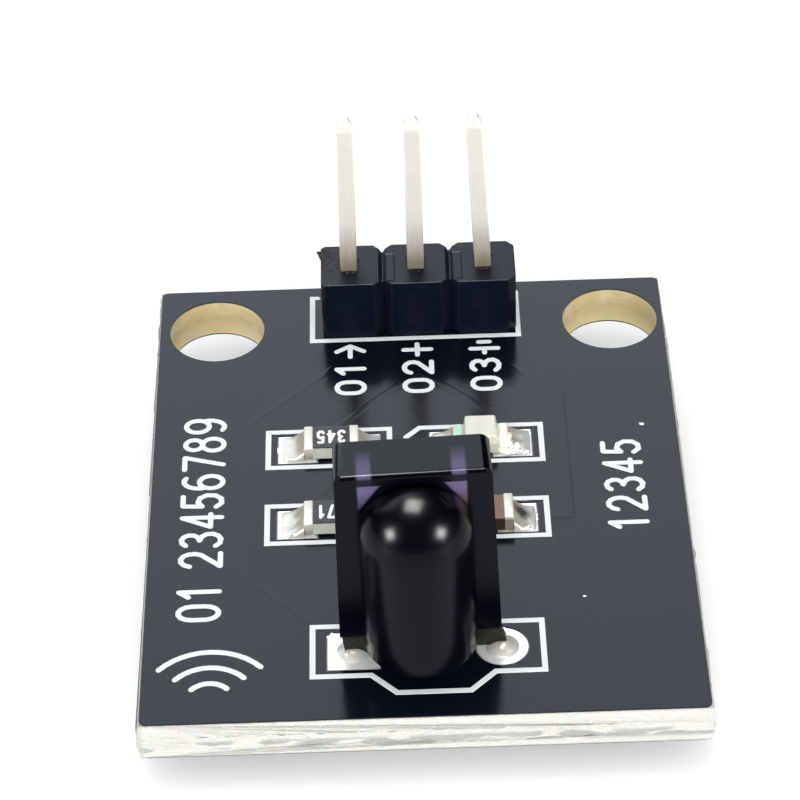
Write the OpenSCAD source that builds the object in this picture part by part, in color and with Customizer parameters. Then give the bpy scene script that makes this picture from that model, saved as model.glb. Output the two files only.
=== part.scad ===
// Infrared receiver module: a small scored circuit board that carries a three-lead
// infrared receiver standing on its leads, a three-pin header, an indicator lamp,
// two resistors and a capacitor. Millimetres. +X runs to the right along the short
// side, +Y to the header end, +Z up. The origin lies under the middle of the board,
// at the height of the lead tips that the module stands on.

/* [Board] */
// Width of the board across the snapped edges
board_w = 19.5; // [17:0.1:24]
// Length of the board across the snapped edges
board_d = 23.5; // [22:0.1:30]
// Thickness of the bare laminate
laminate_t = 1.5; // [0.8:0.1:2.2]
// Depth of each scored groove that the board was snapped along
score_depth = 0.5; // [0.2:0.05:0.65]
// Lean of the groove walls from upright, in degrees
score_lean = 15; // [10:1:30]
// Thickness of the black solder mask
mask_t = 0.05; // [0.04:0.01:0.08]
// Thickness of the copper
copper_t = 0.035; // [0.02:0.005:0.035]
// Thickness of the white print
print_t = 0.02; // [0.01:0.01:0.04]
// Corner radius of the printed and masked face
mask_corner_r = 0.25; // [0.1:0.05:0.8]
// Length of the trimmed leads below the board
tip_drop = 1.2; // [0.8:0.1:2]

/* [Mounting holes] */
// Diameter of the two mounting holes
mount_d = 3.6; // [3:0.1:4]
// Distance between the two mounting holes
mount_spacing = 15; // [13.4:0.1:15.2]
// Distance of the mounting holes from the header edge
mount_inset = 2.6; // [2.2:0.1:3.4]
// Shift of the hole pair to the right of the board's middle
mount_shift = 0.08; // [-0.2:0.02:0.2]

/* [Header] */
// Distance from pin to pin, shared by the header and the receiver's leads
pitch = 2.54; // [2.3:0.02:2.8]
// Shift of the middle pin to the right of the board's middle
header_shift = 0.24; // [-0.4:0.02:0.4]
// Distance of the pin row from the header edge
header_inset = 2.04; // [1.6:0.02:3]
// Depth of the header's plastic, front to back
header_d = 2.46; // [2.2:0.02:2.8]
// Height of the header's plastic
header_h = 2.54; // [1.8:0.02:3.2]
// Plastic beyond the middle of the left pin
header_end_left = 1.06; // [0.98:0.01:1.2]
// Plastic beyond the middle of the right pin
header_end_right = 1.21; // [0.98:0.01:1.26]
// Chamfer at the corners of each header unit
header_chamfer = 0.34; // [0.3:0.02:0.45]
// Width across a square pin
pin_w = 0.64; // [0.5:0.02:0.7]
// Length of the pins above the plastic
pin_above = 6.75; // [4:0.05:9]
// Length of the taper at a pin's tip
pin_taper = 0.35; // [0.1:0.05:0.6]
// Width across the end of the taper
pin_point_w = 0.36; // [0.2:0.02:0.45]
// Lean of the left pin to the left, in degrees
pin_lean_left = -0.6; // [-4:0.1:4]
// Lean of the middle pin to the left, in degrees
pin_lean_middle = 0.1; // [-4:0.1:4]
// Lean of the right pin to the left, in degrees
pin_lean_right = 2.4; // [-4:0.1:4]
// Recess in the plastic round each pin
pin_recess = 0.06; // [0.04:0.01:0.2]
// Depth of the grooves across the top between the units
unit_groove = 0.12; // [0.05:0.01:0.3]

/* [Plated holes] */
// Finished diameter of the plated holes
plated_d = 1.02; // [0.96:0.02:1.1]
// Wall of the plating
plating_t = 0.03; // [0.02:0.01:0.05]
// Diameter of the round pads
pad_d = 1.76; // [1.5:0.02:1.9]

/* [Receiver] */
// Shift of the receiver's lead row to the right of the board's middle
receiver_shift = 0.17; // [-0.3:0.01:0.3]
// Shift of the receiver's body to the left of its lead holes
body_shift = 0.22; // [0:0.01:0.3]
// Shift of the receiver's legs to the right, back towards their holes
leg_set = 0.14; // [0.1:0.01:0.3]
// Shift of the receiver's lead sheet behind the middle of its holes
sheet_setback = 0.05; // [0:0.01:0.1]
// Distance of the receiver's lead row from the front edge
receiver_inset = 3.35; // [2.9:0.05:4.5]
// Turn of the receiver seen from above, in degrees
receiver_turn = 1.5; // [0:0.1:2]
// Sideways lean of the receiver to the left, in degrees
receiver_lean = 0.8; // [0:0.1:1]
// Gap between the board and the receiver's body
receiver_gap = 1; // [0.6:0.05:2]
// Width of the receiver's body at the bottom
body_w = 5.5; // [5.3:0.05:6.2]
// Width of the receiver's body at the top
body_top_w = 5.16; // [4.8:0.02:5.3]
// Height of the receiver's body
body_h = 7.34; // [6.8:0.02:8.5]
// Front of the body plate ahead of the lead row
body_front = 0.32; // [0.26:0.02:0.7]
// Back of the body plate behind the lead row
body_back = 1.44; // [1:0.02:1.8]
// Lean of the back face over its height
body_draft = 0.12; // [0:0.02:0.3]
// Corner radius of the body plate
body_corner_r = 0.28; // [0.1:0.02:0.5]
// Height of the ledge across the top of the front face
ledge_h = 0.42; // [0.2:0.02:0.8]
// Ledge ahead of the body plate
ledge_out = 0.16; // [0.08:0.02:0.5]
// Setback of the ledge at each side
ledge_side = 0.14; // [0.05:0.01:0.4]
// Radius of the lens ball and of the column under it
lens_r = 1.92; // [1.6:0.02:2.2]
// Height of the ball's middle above the bottom of the body
lens_z = 4.9; // [4.4:0.02:5.2]
// Distance of the ball's middle ahead of the body plate
lens_out = 0.28; // [0:0.02:0.6]

/* [Receiver leads] */
// Width of a lead below its shoulder
lead_w = 0.44; // [0.35:0.01:0.5]
// Thickness of the lead sheet
lead_t = 0.3; // [0.25:0.01:0.4]
// Width of the outer leads' shoulders
shoulder_w = 1; // [0.8:0.02:1.2]
// Inset of the outer shoulders from the body's side
shoulder_inset = 0.07; // [0.02:0.01:0.2]
// Depth that the shoulders reach into the body
shoulder_depth = 0.7; // [0.4:0.05:1]
// Width of the strips that run up inside the body
strip_w = 0.56; // [0.4:0.02:0.7]
// Distance of the strips from the middle of the body
strip_x = 1.6; // [1.5:0.02:1.8]
// Gap between the strips' ends and the top of the body
strip_top_gap = 0.2; // [0.1:0.02:0.5]
// Gap between the chip plate and the strips
plate_gap = 0.16; // [0.1:0.02:0.3]
// Height of the chip plate's lower edge above the bottom of the body
plate_z = 1.4; // [1:0.05:1.8]
// Side of the square light-sensing chip
photo_chip = 1.7; // [1.2:0.05:2]
// Side of the square amplifier chip
amplifier_chip = 1.1; // [0.8:0.05:1.3]
// Thickness of both chips
chip_t = 0.22; // [0.15:0.01:0.3]

/* [Surface parts] */
// Length of a surface part
smd_l = 2; // [1.8:0.02:2.2]
// Width of a surface part
smd_w = 1.25; // [1.1:0.01:1.35]
// Length of an end cap
cap_l = 0.34; // [0.3:0.02:0.5]
// Thickness of an end cap's metal
cap_t = 0.05; // [0.03:0.01:0.08]
// Height of a resistor's ceramic
resistor_h = 0.45; // [0.35:0.01:0.6]
// Thickness of a resistor's black glaze
glaze_t = 0.04; // [0.02:0.01:0.05]
// Height of the capacitor's ceramic
capacitor_h = 0.58; // [0.4:0.02:1]
// Height of the lamp's base
lamp_base_h = 0.34; // [0.25:0.01:0.45]
// Height of the lamp's clear cap
lamp_cap_h = 0.44; // [0.3:0.01:0.6]
// Length of the lamp's clear cap at its foot
lamp_cap_l = 1.24; // [1:0.02:1.3]
// Inward slope of the clear cap's ends
lamp_cap_slope = 0.06; // [0.02:0.01:0.15]
// Side of the lamp's chip
lamp_chip = 0.3; // [0.2:0.01:0.4]
// Height of the lamp's chip
lamp_chip_h = 0.15; // [0.1:0.01:0.2]
// Depth of solder under the end caps
solder_film = 0.04; // [0.03:0.01:0.08]
// Length of a surface pad
pad_l = 1.4; // [1.2:0.02:1.5]
// Width of a surface pad
pad_w = 1.46; // [1.4:0.01:1.6]
// Reach of a surface pad beyond the end of the part
pad_out = 0.84; // [0.5:0.02:1]
// Distance of the lamp row behind the board's middle, as a share of its length
lamp_row_share = 0.0902; // [0.08:0.001:0.11]
// Distance of the capacitor row ahead of the board's middle, as a share of its length
capacitor_row_share = 0.0821; // [0.07:0.001:0.1]
// Distance of the resistors to the left of the board's middle
resistor_x = 3.17; // [2.9:0.01:3.3]
// Distance of the lamp and the capacitor to the right of the board's middle
lamp_x = 2.38; // [2.2:0.01:2.9]
// Slip of the resistors to the right on their pads
resistor_slip = 0.1; // [0:0.01:0.1]
// Slip of the capacitor to the front on its pads
capacitor_slip = 0.1; // [0:0.01:0.1]

/* [Print] */
// Width of the printed outlines
line_w = 0.2; // [0.12:0.01:0.24]
// Width of the strokes of the printed signs
stroke_w = 0.19; // [0.12:0.01:0.22]
// Length of the outline round a surface part
outline_l = 4.44; // [4.2:0.02:4.6]
// Width of the outline round a surface part
outline_w = 1.96; // [1.84:0.01:2.2]
// Cut corner of the lamp's outline
outline_cut = 0.5; // [0.3:0.02:0.8]
// Height of the large signs at the left
large_sign_h = 1.6; // [1.3:0.02:1.7]
// Height of the signs at the right
right_sign_h = 1.5; // [1.2:0.02:1.6]
// Height of the signs at the pins
pin_sign_h = 1.22; // [1:0.02:1.3]
// Radius of the largest printed arc
arc_r = 2.3; // [2:0.05:2.6]
// Distance between the printed arcs
arc_step = 0.75; // [0.6:0.01:0.9]
// Middle of the arcs, in from the left edge of the face
arc_inset_x = 2.35; // [2.2:0.01:2.6]
// Middle of the arcs, in from the front edge of the face
arc_inset_y = 1.07; // [0.9:0.01:1.4]
// Foot of the large signs, in from the left edge of the face
large_row_inset_x = 2.69; // [2.5:0.01:2.9]
// Start of the large signs, in from the front edge of the face
large_row_inset_y = 4.87; // [4.6:0.01:5.2]
// Foot of the right signs, in from the right edge of the face
right_row_inset = 1.4; // [1.2:0.01:1.6]
// Gap between the header's outline and the signs at the pins
pin_sign_gap = 0.18; // [0.15:0.01:0.4]
// Gap between the header's plastic and its outline
header_outline_gap = 0.14; // [0.12:0.01:0.3]
// Gap between the receiver's outer pads and its outline, to the side
receiver_outline_side = 0.52; // [0.3:0.01:0.7]
// Gap between the receiver's pads and its outline, front and back
receiver_outline_gap = 0.32; // [0.2:0.01:0.4]
// Reach of the nose of the receiver's outline
receiver_nose_out = 0.86; // [0.7:0.01:1]
// Half the width of that nose
receiver_nose_x = 1.25; // [1:0.01:1.4]
// Shift of that nose to the right
receiver_nose_shift = 0.16; // [0:0.01:0.2]

/* [Hidden] */
$fn = 64;
cut = 0.02;

// Heights of the layers, from the lead tips upwards
bottom_z = tip_drop;
laminate_z = bottom_z + mask_t;
copper_z = laminate_z + laminate_t;
pad_top_z = copper_z + copper_t;
face_z = copper_z + mask_t;
part_z = pad_top_z + solder_film;

// The plain face left between the scored grooves
score_in = score_depth * tan(score_lean);
face_w = board_w - 2 * score_in;
face_d = board_d - 2 * score_in;

// Places of the holes
mount_y = board_d / 2 - mount_inset;
mount_places = [for (side = [-1, 1]) [mount_shift + side * mount_spacing / 2, mount_y]];
header_y = board_d / 2 - header_inset;
header_places = [for (i = [-1:1]) [header_shift + i * pitch, header_y]];
receiver_y = -board_d / 2 + receiver_inset;
receiver_places = [for (i = [-1:1]) [receiver_shift + i * pitch, receiver_y]];
plated_places = concat(header_places, receiver_places);

// Places of the surface parts
lamp_row_y = board_d * lamp_row_share;
capacitor_row_y = board_d * capacitor_row_share;
lamp_resistor_place = [-resistor_x, lamp_row_y];
supply_resistor_place = [-resistor_x, -capacitor_row_y];
lamp_place = [lamp_x, lamp_row_y];
capacitor_place = [lamp_x, -capacitor_row_y];
lamp_resistor_seat = lamp_resistor_place + [resistor_slip, 0];
supply_resistor_seat = supply_resistor_place + [resistor_slip, 0];
capacitor_seat = capacitor_place - [0, min(capacitor_slip, (pad_w - smd_w) / 2 - 0.005)];
smd_places = [lamp_resistor_place, supply_resistor_place, lamp_place, capacitor_place];
pad_x = smd_l / 2 + pad_out - pad_l / 2;

// Outer size of the layers that stop short of the mask's edge
mask_margin = 0.06;
mask_swell = 0.05;
track_w = 0.3;
plane_gap = 0.35;

// Joins the ends of two lists of points, so that one outline goes round a stroke
function unit(v) = v / norm(v);
function left_of(a, b) = let (d = unit(b - a)) [-d[1], d[0]];
function joint(path, i) =
    let (
        last = len(path) - 1,
        before = left_of(path[max(i - 1, 0)], path[max(i, 1)]),
        after = left_of(path[min(i, last - 1)], path[min(i + 1, last)]),
        middle = unit(before + after)
    ) middle / (middle * before);
function side_of(path, reach) = [for (i = [0:len(path) - 1]) path[i] + reach * joint(path, i)];
function round_end(a, b, reach) =
    let (away = left_of(a, b), angle = atan2(away[1], away[0]))
    [for (k = [1:3]) b + reach * [cos(angle - 45 * k), sin(angle - 45 * k)]];
function reversed(list) = [for (i = [len(list) - 1:-1:0]) list[i]];
function stroke_outline(path, w) =
    let (last = len(path) - 1)
    concat(side_of(path, w / 2), round_end(path[last - 1], path[last], w / 2),
        reversed(side_of(path, -w / 2)), round_end(path[1], path[0], w / 2));
function arc_points(centre, radii, from, to, steps = 7) =
    [for (k = [0:steps]) let (a = from + (to - from) * k / steps)
        centre + [radii[0] * cos(a), radii[1] * sin(a)]];

// Digits in a box one unit wide and one unit high: closed loops, then open strokes
function oval(centre, radii) = arc_points(centre, radii, 0, 342, 19);
function digit_loops(d) =
    d == 0 ? [concat(arc_points([0.5, 0.66], [0.5, 0.34], 0, 180),
        arc_points([0.5, 0.34], [0.5, 0.34], 180, 360))] :
    d == 6 ? [oval([0.5, 0.3], [0.5, 0.3])] :
    d == 8 ? [oval([0.5, 0.78], [0.42, 0.22]), oval([0.5, 0.28], [0.5, 0.28])] :
    d == 9 ? [oval([0.5, 0.7], [0.5, 0.3])] : [];
function digit_strokes(d) =
    d == 1 ? [[[0.15, 0.76], [0.55, 1]], [[0.55, 1], [0.55, 0]]] :
    d == 2 ? [concat(arc_points([0.5, 0.68], [0.5, 0.32], 165, -35), [[0, 0]]), [[0, 0], [1, 0]]] :
    d == 3 ? [arc_points([0.48, 0.77], [0.44, 0.23], 150, -90),
        arc_points([0.48, 0.27], [0.52, 0.27], 90, -150)] :
    d == 4 ? [[[0.74, 0], [0.74, 1]], [[0.74, 1], [0, 0.28]], [[0, 0.28], [1, 0.28]]] :
    d == 5 ? [[[0.9, 1], [0.14, 1]], [[0.14, 1], [0.08, 0.52]],
        arc_points([0.48, 0.31], [0.52, 0.31], 140, -150)] :
    d == 6 ? [arc_points([0.56, 0.6], [0.56, 0.4], 60, 205)] :
    d == 7 ? [[[0, 1], [1, 1]], [[1, 1], [0.36, 0]]] :
    d == 9 ? [arc_points([0.44, 0.4], [0.56, 0.4], 25, -120)] : [];

// Signs for the three pins: an arrow for the signal, a plus and ground bars
arrow_strokes = [[[0, 0.5], [1, 0.5]], [[0.5, 0], [1, 0.5]], [[1, 0.5], [0.5, 1]]];
plus_strokes = [[[0, 0.5], [1, 0.5]], [[0.5, 0], [0.5, 1]]];
ground_strokes = [[[0, 0.5], [0.4, 0.5]], [[0.4, 0], [0.4, 1]], [[1, 0.3], [1, 0.7]]];

module stroke(path, w) {
    polygon(stroke_outline(path, w));
}

// A stroke that closes on itself
module ring(path, w) {
    count = len(path);
    inward = [for (i = [0:count - 1])
        let (
            before = left_of(path[(i + count - 1) % count], path[i]),
            after = left_of(path[i], path[(i + 1) % count]),
            middle = unit(before + after)
        ) middle / (middle * before)];
    difference() {
        polygon([for (i = [0:count - 1]) path[i] - inward[i] * w / 2]);
        polygon([for (i = [0:count - 1]) path[i] + inward[i] * w / 2]);
    }
}

// One sign, drawn from the lower left corner of its inked box
module sign(loops, strokes, w, h, line = stroke_w) {
    for (path = loops)
        ring([for (p = path) [line / 2 + p[0] * (w - line), line / 2 + p[1] * (h - line)]], line);
    for (path = strokes)
        stroke([for (p = path) [line / 2 + p[0] * (w - line), line / 2 + p[1] * (h - line)]], line);
}

// A row of digits, written from left to right
module digit_row(digits, w, h, step, line = stroke_w) {
    for (i = [0:len(digits) - 1])
        translate([i * step, 0])
        sign(digit_loops(digits[i]), digit_strokes(digits[i]), w, h, line);
}

// A flat layer made from a drawing, from one height up to another
module layer(z, t) {
    translate([0, 0, z])
    linear_extrude(t)
    children();
}

module at_each(places) {
    for (place = places)
        translate([place[0], place[1]])
        children();
}

module centred_box(size, z) {
    translate([-size[0] / 2, -size[1] / 2, z])
    cube(size);
}

// A rectangle with round corners
module round_rect(w, d, r) {
    square([w - 2 * r, d], center = true);
    square([w, d - 2 * r], center = true);
    for (x = [-1, 1], y = [-1, 1])
        translate([x * (w / 2 - r), y * (d / 2 - r)])
        circle(r);
}

// Side view of the board's edge, drawn over a width
module scored_profile(w) {
    polygon([
        [-w / 2 + score_in, 0], [w / 2 - score_in, 0], [w / 2, score_depth],
        [w / 2, laminate_t - score_depth], [w / 2 - score_in, laminate_t],
        [-w / 2 + score_in, laminate_t], [-w / 2, laminate_t - score_depth], [-w / 2, score_depth]
    ]);
}

module laminate() {
    color("#d9cfa0")
    difference() {
        translate([0, 0, laminate_z])
        intersection() {
            translate([0, board_d / 2, 0])
            rotate([90, 0, 0])
            linear_extrude(board_d)
            scored_profile(board_w);
            translate([-board_w / 2, 0, 0])
            rotate([90, 0, 90])
            linear_extrude(board_w)
            scored_profile(board_d);
        }
        at_each(mount_places)
            cylinder(h = face_z + 1, d = mount_d);
        at_each(plated_places)
            cylinder(h = face_z + 1, d = plated_d + 2 * plating_t);
    }
}

// Drawing of the two pads of a surface part
module smd_pads(grow = 0) {
    for (side = [-1, 1])
        translate([side * pad_x, 0])
        square([pad_l + 2 * grow, pad_w + 2 * grow], center = true);
}

// Drawing of the pads on the upper face
module top_pads(grow = 0) {
    at_each(concat(header_places, [receiver_places[1], receiver_places[2]]))
        circle(d = pad_d + 2 * grow);
    translate(receiver_places[0])
        square(pad_d + 2 * grow, center = true);
    at_each(smd_places)
        smd_pads(grow);
}

// Drawing of the pads on the lower face
module bottom_pads(grow = 0) {
    at_each(plated_places)
        circle(d = pad_d + 2 * grow);
}

// Routes of the tracks on the upper face
left_lane_x = -resistor_x - smd_l / 2 - pad_out - 1;
right_lane_x = lamp_x + smd_l / 2 + pad_out + 1.2;
fork_y = header_y - 3.3;
bend = 2.3;
output_track = [
    header_places[0], header_places[0] - [0, bend],
    [left_lane_x, header_y - bend + left_lane_x - header_places[0][0]],
    [left_lane_x, receiver_y - left_lane_x + receiver_places[0][0]], receiver_places[0]
];
lamp_output_track = [[left_lane_x, lamp_row_y], [-resistor_x - pad_x, lamp_row_y]];
supply_track = [
    header_places[1], [header_places[1][0], fork_y],
    [-resistor_x, fork_y - header_places[1][0] - resistor_x], [-resistor_x, 0],
    [-resistor_x - pad_x, -pad_x], [-resistor_x - pad_x, -capacitor_row_y]
];
lamp_supply_track = [
    [header_places[1][0], fork_y], [header_places[1][0] + bend, fork_y - bend],
    [lamp_x + pad_x, fork_y - bend], [lamp_x + pad_x, lamp_row_y]
];
lamp_link_track = [[-resistor_x + pad_x, lamp_row_y], [lamp_x - pad_x, lamp_row_y]];
filter_track = [[-resistor_x + pad_x, -capacitor_row_y], [lamp_x - pad_x, -capacitor_row_y]];
sensor_supply_track = [
    [lamp_x - pad_x, -capacitor_row_y], [lamp_x - pad_x, receiver_y + bend],
    receiver_places[2] + [0, bend - receiver_places[2][0] + lamp_x - pad_x], receiver_places[2]
];
ground_track = [
    header_places[2], header_places[2] - [0, bend],
    [right_lane_x, header_y - bend - right_lane_x + header_places[2][0]],
    [right_lane_x, -capacitor_row_y], [lamp_x + pad_x, -capacitor_row_y]
];
top_tracks = [
    output_track, lamp_output_track, supply_track, lamp_supply_track, lamp_link_track,
    filter_track, sensor_supply_track, ground_track
];

// Pads and tracks on the upper face, from one height up to another
module top_copper_block(z, t) {
    difference() {
        union() {
            layer(z, t)
                top_pads();
            for (track = top_tracks)
                layer(z, t)
                stroke(track, track_w);
        }
        at_each(plated_places)
            cylinder(h = face_z + 1, d = plated_d + 2 * plating_t);
    }
}

// Drawing of the ground plane and the pads on the lower face
module bottom_copper_drawing() {
    difference() {
        square([face_w - 2, face_d - 2], center = true);
        at_each(mount_places)
            circle(d = mount_d + 2);
        at_each([header_places[0], header_places[1], receiver_places[0], receiver_places[2]])
            circle(d = pad_d + 2 * plane_gap);
        at_each([header_places[2], receiver_places[1]])
            circle(d = plated_d + 2 * plating_t);
    }
    difference() {
        bottom_pads();
        at_each(plated_places)
            circle(d = plated_d + 2 * plating_t);
    }
}

module top_copper() {
    color("#c9cdd0")
    top_copper_block(copper_z, copper_t);
}

module bottom_copper() {
    color("#c9cdd0")
    layer(laminate_z - copper_t, copper_t)
    bottom_copper_drawing();
}

module top_solder_mask() {
    color("#17181c")
    difference() {
        layer(copper_z, mask_t)
        difference() {
            round_rect(face_w - mask_margin, face_d - mask_margin, mask_corner_r);
            at_each(mount_places)
                circle(d = mount_d);
            top_pads(mask_swell);
        }
        top_copper_block(copper_z - cut, copper_t + cut);
    }
}

module bottom_solder_mask() {
    color("#17181c")
    difference() {
        layer(bottom_z, mask_t)
        difference() {
            round_rect(face_w - mask_margin, face_d - mask_margin, mask_corner_r);
            at_each(mount_places)
                circle(d = mount_d);
            bottom_pads(mask_swell);
        }
        layer(laminate_z - copper_t, copper_t + cut)
        bottom_copper_drawing();
    }
}

module header_hole_plating() {
    plating(header_places);
}

module receiver_hole_plating() {
    plating(receiver_places);
}

// Plated walls of a row of holes
module plating(places) {
    color("#b9bdc0")
    at_each(places)
        layer(laminate_z - copper_t, laminate_t + 2 * copper_t)
        difference() {
            circle(d = plated_d + 2 * plating_t);
            circle(d = plated_d);
        }
}

// Drawing of the rectangle round a surface part
module part_outline() {
    difference() {
        square([outline_l + line_w, outline_w + line_w], center = true);
        square([outline_l - line_w, outline_w - line_w], center = true);
    }
}

// Drawing of the lamp's outline, with the corner at its marked end cut off
module lamp_outline() {
    x = outline_l / 2;
    y = outline_w / 2;
    long = x + outline_cut;
    reach = line_w * tan(22.5);
    difference() {
        polygon([
            [-long - line_w / 2, -y - line_w / 2], [x + line_w / 2, -y - line_w / 2],
            [x + line_w / 2, y + line_w / 2], [-x - reach / 2, y + line_w / 2],
            [-long - line_w / 2, y - outline_cut + reach / 2]
        ]);
        polygon([
            [-long + line_w / 2, -y + line_w / 2], [x - line_w / 2, -y + line_w / 2],
            [x - line_w / 2, y - line_w / 2], [-x + reach / 2, y - line_w / 2],
            [-long + line_w / 2, y - outline_cut - reach / 2]
        ]);
    }
}

// Outline round the header, open at the back, and round the receiver's leads. The
// left end of the header stops short of its outline, because it was snapped off.
header_left_x = header_places[0][0] - header_end_left - 3 * header_outline_gap;
header_right_x = header_places[2][0] + header_end_right + header_outline_gap / 2;
header_front_y = header_y - header_d / 2 - header_outline_gap;
header_back_y = header_y + header_d / 2;
header_outline = [
    [header_left_x + line_w, header_back_y], [header_left_x, header_back_y],
    [header_left_x, header_front_y], [header_right_x, header_front_y],
    [header_right_x, header_back_y]
];
receiver_outline_x = pitch + pad_d / 2 + receiver_outline_side;
receiver_outline_y = pad_d / 2 + receiver_outline_gap;

module receiver_outline() {
    x = receiver_outline_x;
    y = receiver_outline_y;
    nose = receiver_nose_x;
    s = receiver_nose_shift;
    translate(receiver_places[1])
    ring([
        [x, y], [-x, y], [-x, -y], [s - nose - receiver_nose_out, -y],
        [s - nose, -y - receiver_nose_out], [s + nose, -y - receiver_nose_out],
        [s + nose + receiver_nose_out, -y], [x, -y]
    ], line_w);
}

module outline_print() {
    color("#e9ecea")
    layer(face_z, print_t) {
        stroke(header_outline, line_w);
        receiver_outline();
        at_each([lamp_resistor_place, supply_resistor_place, capacitor_place])
            part_outline();
        translate(lamp_place)
            lamp_outline();
    }
}

// Signs written up the board, each row from its lower right corner
large_row_x = -face_w / 2 + large_row_inset_x;
large_row_y = -face_d / 2 + large_row_inset_y;
large_row_gap = 0.62;
large_sign_w = 0.86;
large_step = 1.03;
right_row_x = face_w / 2 - right_row_inset;
right_row_y = -capacitor_row_y - 0.9;
right_sign_w = 0.82;
right_step = 1.02;
pin_sign_w = 0.84;
pin_step = 1.06;
pin_row_y = header_front_y - line_w / 2 - pin_sign_gap - 2 * pin_step - pin_sign_w;
pin_row_right = 0.56;

module written_up(place) {
    translate(place)
    rotate(90)
    children();
}

module number_print() {
    pin_symbols = [arrow_strokes, plus_strokes, ground_strokes];
    color("#e9ecea")
    layer(face_z, print_t) {
        written_up([large_row_x, large_row_y]) {
            digit_row([0, 1], large_sign_w, large_sign_h, large_step);
            translate([2 * large_step + large_row_gap, 0])
            digit_row([2, 3, 4, 5, 6, 7, 8, 9], large_sign_w, large_sign_h, large_step);
        }
        written_up([right_row_x, right_row_y])
            digit_row([1, 2, 3, 4, 5], right_sign_w, right_sign_h, right_step);
        for (i = [0:2])
            written_up([header_places[i][0] + pin_row_right, pin_row_y]) {
                digit_row([0, i + 1], pin_sign_w, pin_sign_h, pin_step);
                translate([2 * pin_step, 0])
                sign([], pin_symbols[i], pin_sign_w, pin_sign_h);
            }
    }
}

// Three plain arcs, one inside the next, opening towards the front
wave_x = -face_w / 2 + arc_inset_x;
wave_y = -face_d / 2 + arc_inset_y;
wave_half_angle = 49;

module wave_print() {
    color("#e9ecea")
    layer(face_z, print_t)
    for (i = [0:2])
        stroke(arc_points([wave_x, wave_y], (arc_r - i * arc_step) * [1, 1],
            90 - wave_half_angle, 90 + wave_half_angle, 12), line_w);
}

// One unit of the header, chamfered where a longer strip has its notches. An end
// unit was snapped off inside the notch, so less of the chamfer is left there.
module header_unit_drawing(left, right) {
    y = header_d / 2;
    cl = header_chamfer - (pitch / 2 - left);
    cr = header_chamfer - (pitch / 2 - right);
    polygon([
        [-left + cl, -y], [right - cr, -y], [right, -y + cr], [right, y - cr],
        [right - cr, y], [-left + cl, y], [-left, y - cl], [-left, -y + cl]
    ]);
}

module header_insulator() {
    color("#1b1c22")
    difference() {
        layer(face_z, header_h) {
            translate(header_places[0])
                header_unit_drawing(header_end_left, pitch / 2);
            translate(header_places[1])
                header_unit_drawing(pitch / 2, pitch / 2);
            translate(header_places[2])
                header_unit_drawing(pitch / 2, header_end_right);
        }
        at_each(header_places) {
            centred_box([pin_w, pin_w, header_h + 1], face_z - 0.5);
            centred_box([pin_w + 2 * pin_recess, pin_w + 2 * pin_recess, header_h],
                face_z + header_h - pin_recess);
        }
        for (side = [-1, 1])
            translate([header_shift + side * pitch / 2, header_y, face_z + header_h])
            rotate([0, 45, 0])
            centred_box([sqrt(2) * unit_groove, header_d, sqrt(2) * unit_groove],
                -unit_groove / sqrt(2));
    }
}

// Side view of a pin, bent over by a lean where it leaves the plastic and tapered
// at its tip
module pin_view(lean) {
    bend_z = face_z + header_h - pin_recess;
    top_z = face_z + header_h + pin_above;
    taper_z = top_z - pin_taper;
    taper_x = (taper_z - bend_z) * tan(lean);
    top_x = (top_z - bend_z) * tan(lean);
    w = pin_w / 2;
    polygon([
        [-w, 0], [w, 0], [w, bend_z], [w - taper_x, taper_z], [pin_point_w / 2 - top_x, top_z],
        [-pin_point_w / 2 - top_x, top_z], [-w - taper_x, taper_z], [-w, bend_z]
    ]);
}

module header_pin(index, lean) {
    color("#d8d2c4")
    translate(header_places[index])
    intersection() {
        across(pin_w)
            pin_view(lean);
        along_x(4 * pin_w)
            pin_view(0);
    }
}

module header_pin_left() {
    header_pin(0, pin_lean_left);
}

module header_pin_middle() {
    header_pin(1, pin_lean_middle);
}

module header_pin_right() {
    header_pin(2, pin_lean_right);
}

// Solder round one lead: a cone below the board and a filling in the hole
joint_tip_z = 0.25;
joint_tip_r = 0.46;
joint_foot_r = pad_d / 2 - 0.08;
joint_swell = 0.06;
joint_neck = 0.3;
joint_toe = 0.12;

module solder_joint(fill_top) {
    foot_z = laminate_z - copper_t;
    rotate_extrude()
        polygon([
            [0, joint_tip_z], [joint_tip_r, joint_tip_z],
            [joint_tip_r + joint_swell, joint_tip_z + joint_neck],
            [joint_foot_r - joint_toe, foot_z - joint_toe], [joint_foot_r, foot_z],
            [plated_d / 2, foot_z],
            [plated_d / 2, fill_top], [0, fill_top]
        ]);
}

module header_solder_joints() {
    color("#c4c8cb")
    difference() {
        at_each(header_places)
            solder_joint(pad_top_z);
        at_each(header_places)
            centred_box([pin_w, pin_w, face_z + 1], -0.5);
    }
}

// Places the receiver by the middle of its lead row at the height of the pads
module receiver_frame() {
    translate([
        receiver_places[1][0] - body_shift, receiver_places[1][1] + sheet_setback, pad_top_z
    ])
    rotate([0, -receiver_lean, receiver_turn])
    children();
}

seat_gap = 0.1;
ledge_chamfer = 0.06;
body_bottom = receiver_gap + face_z - pad_top_z;
body_top = body_bottom + body_h;
lens_y = -body_front - lens_out;
plate_w = 2 * (strip_x - strip_w / 2 - plate_gap);
plate_bottom = body_bottom + plate_z;
plate_top = body_top - 2 * strip_top_gap;
chip_front = -lead_t / 2 - chip_t;
amplifier_z = plate_bottom + amplifier_chip / 2 + 0.15;

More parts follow.
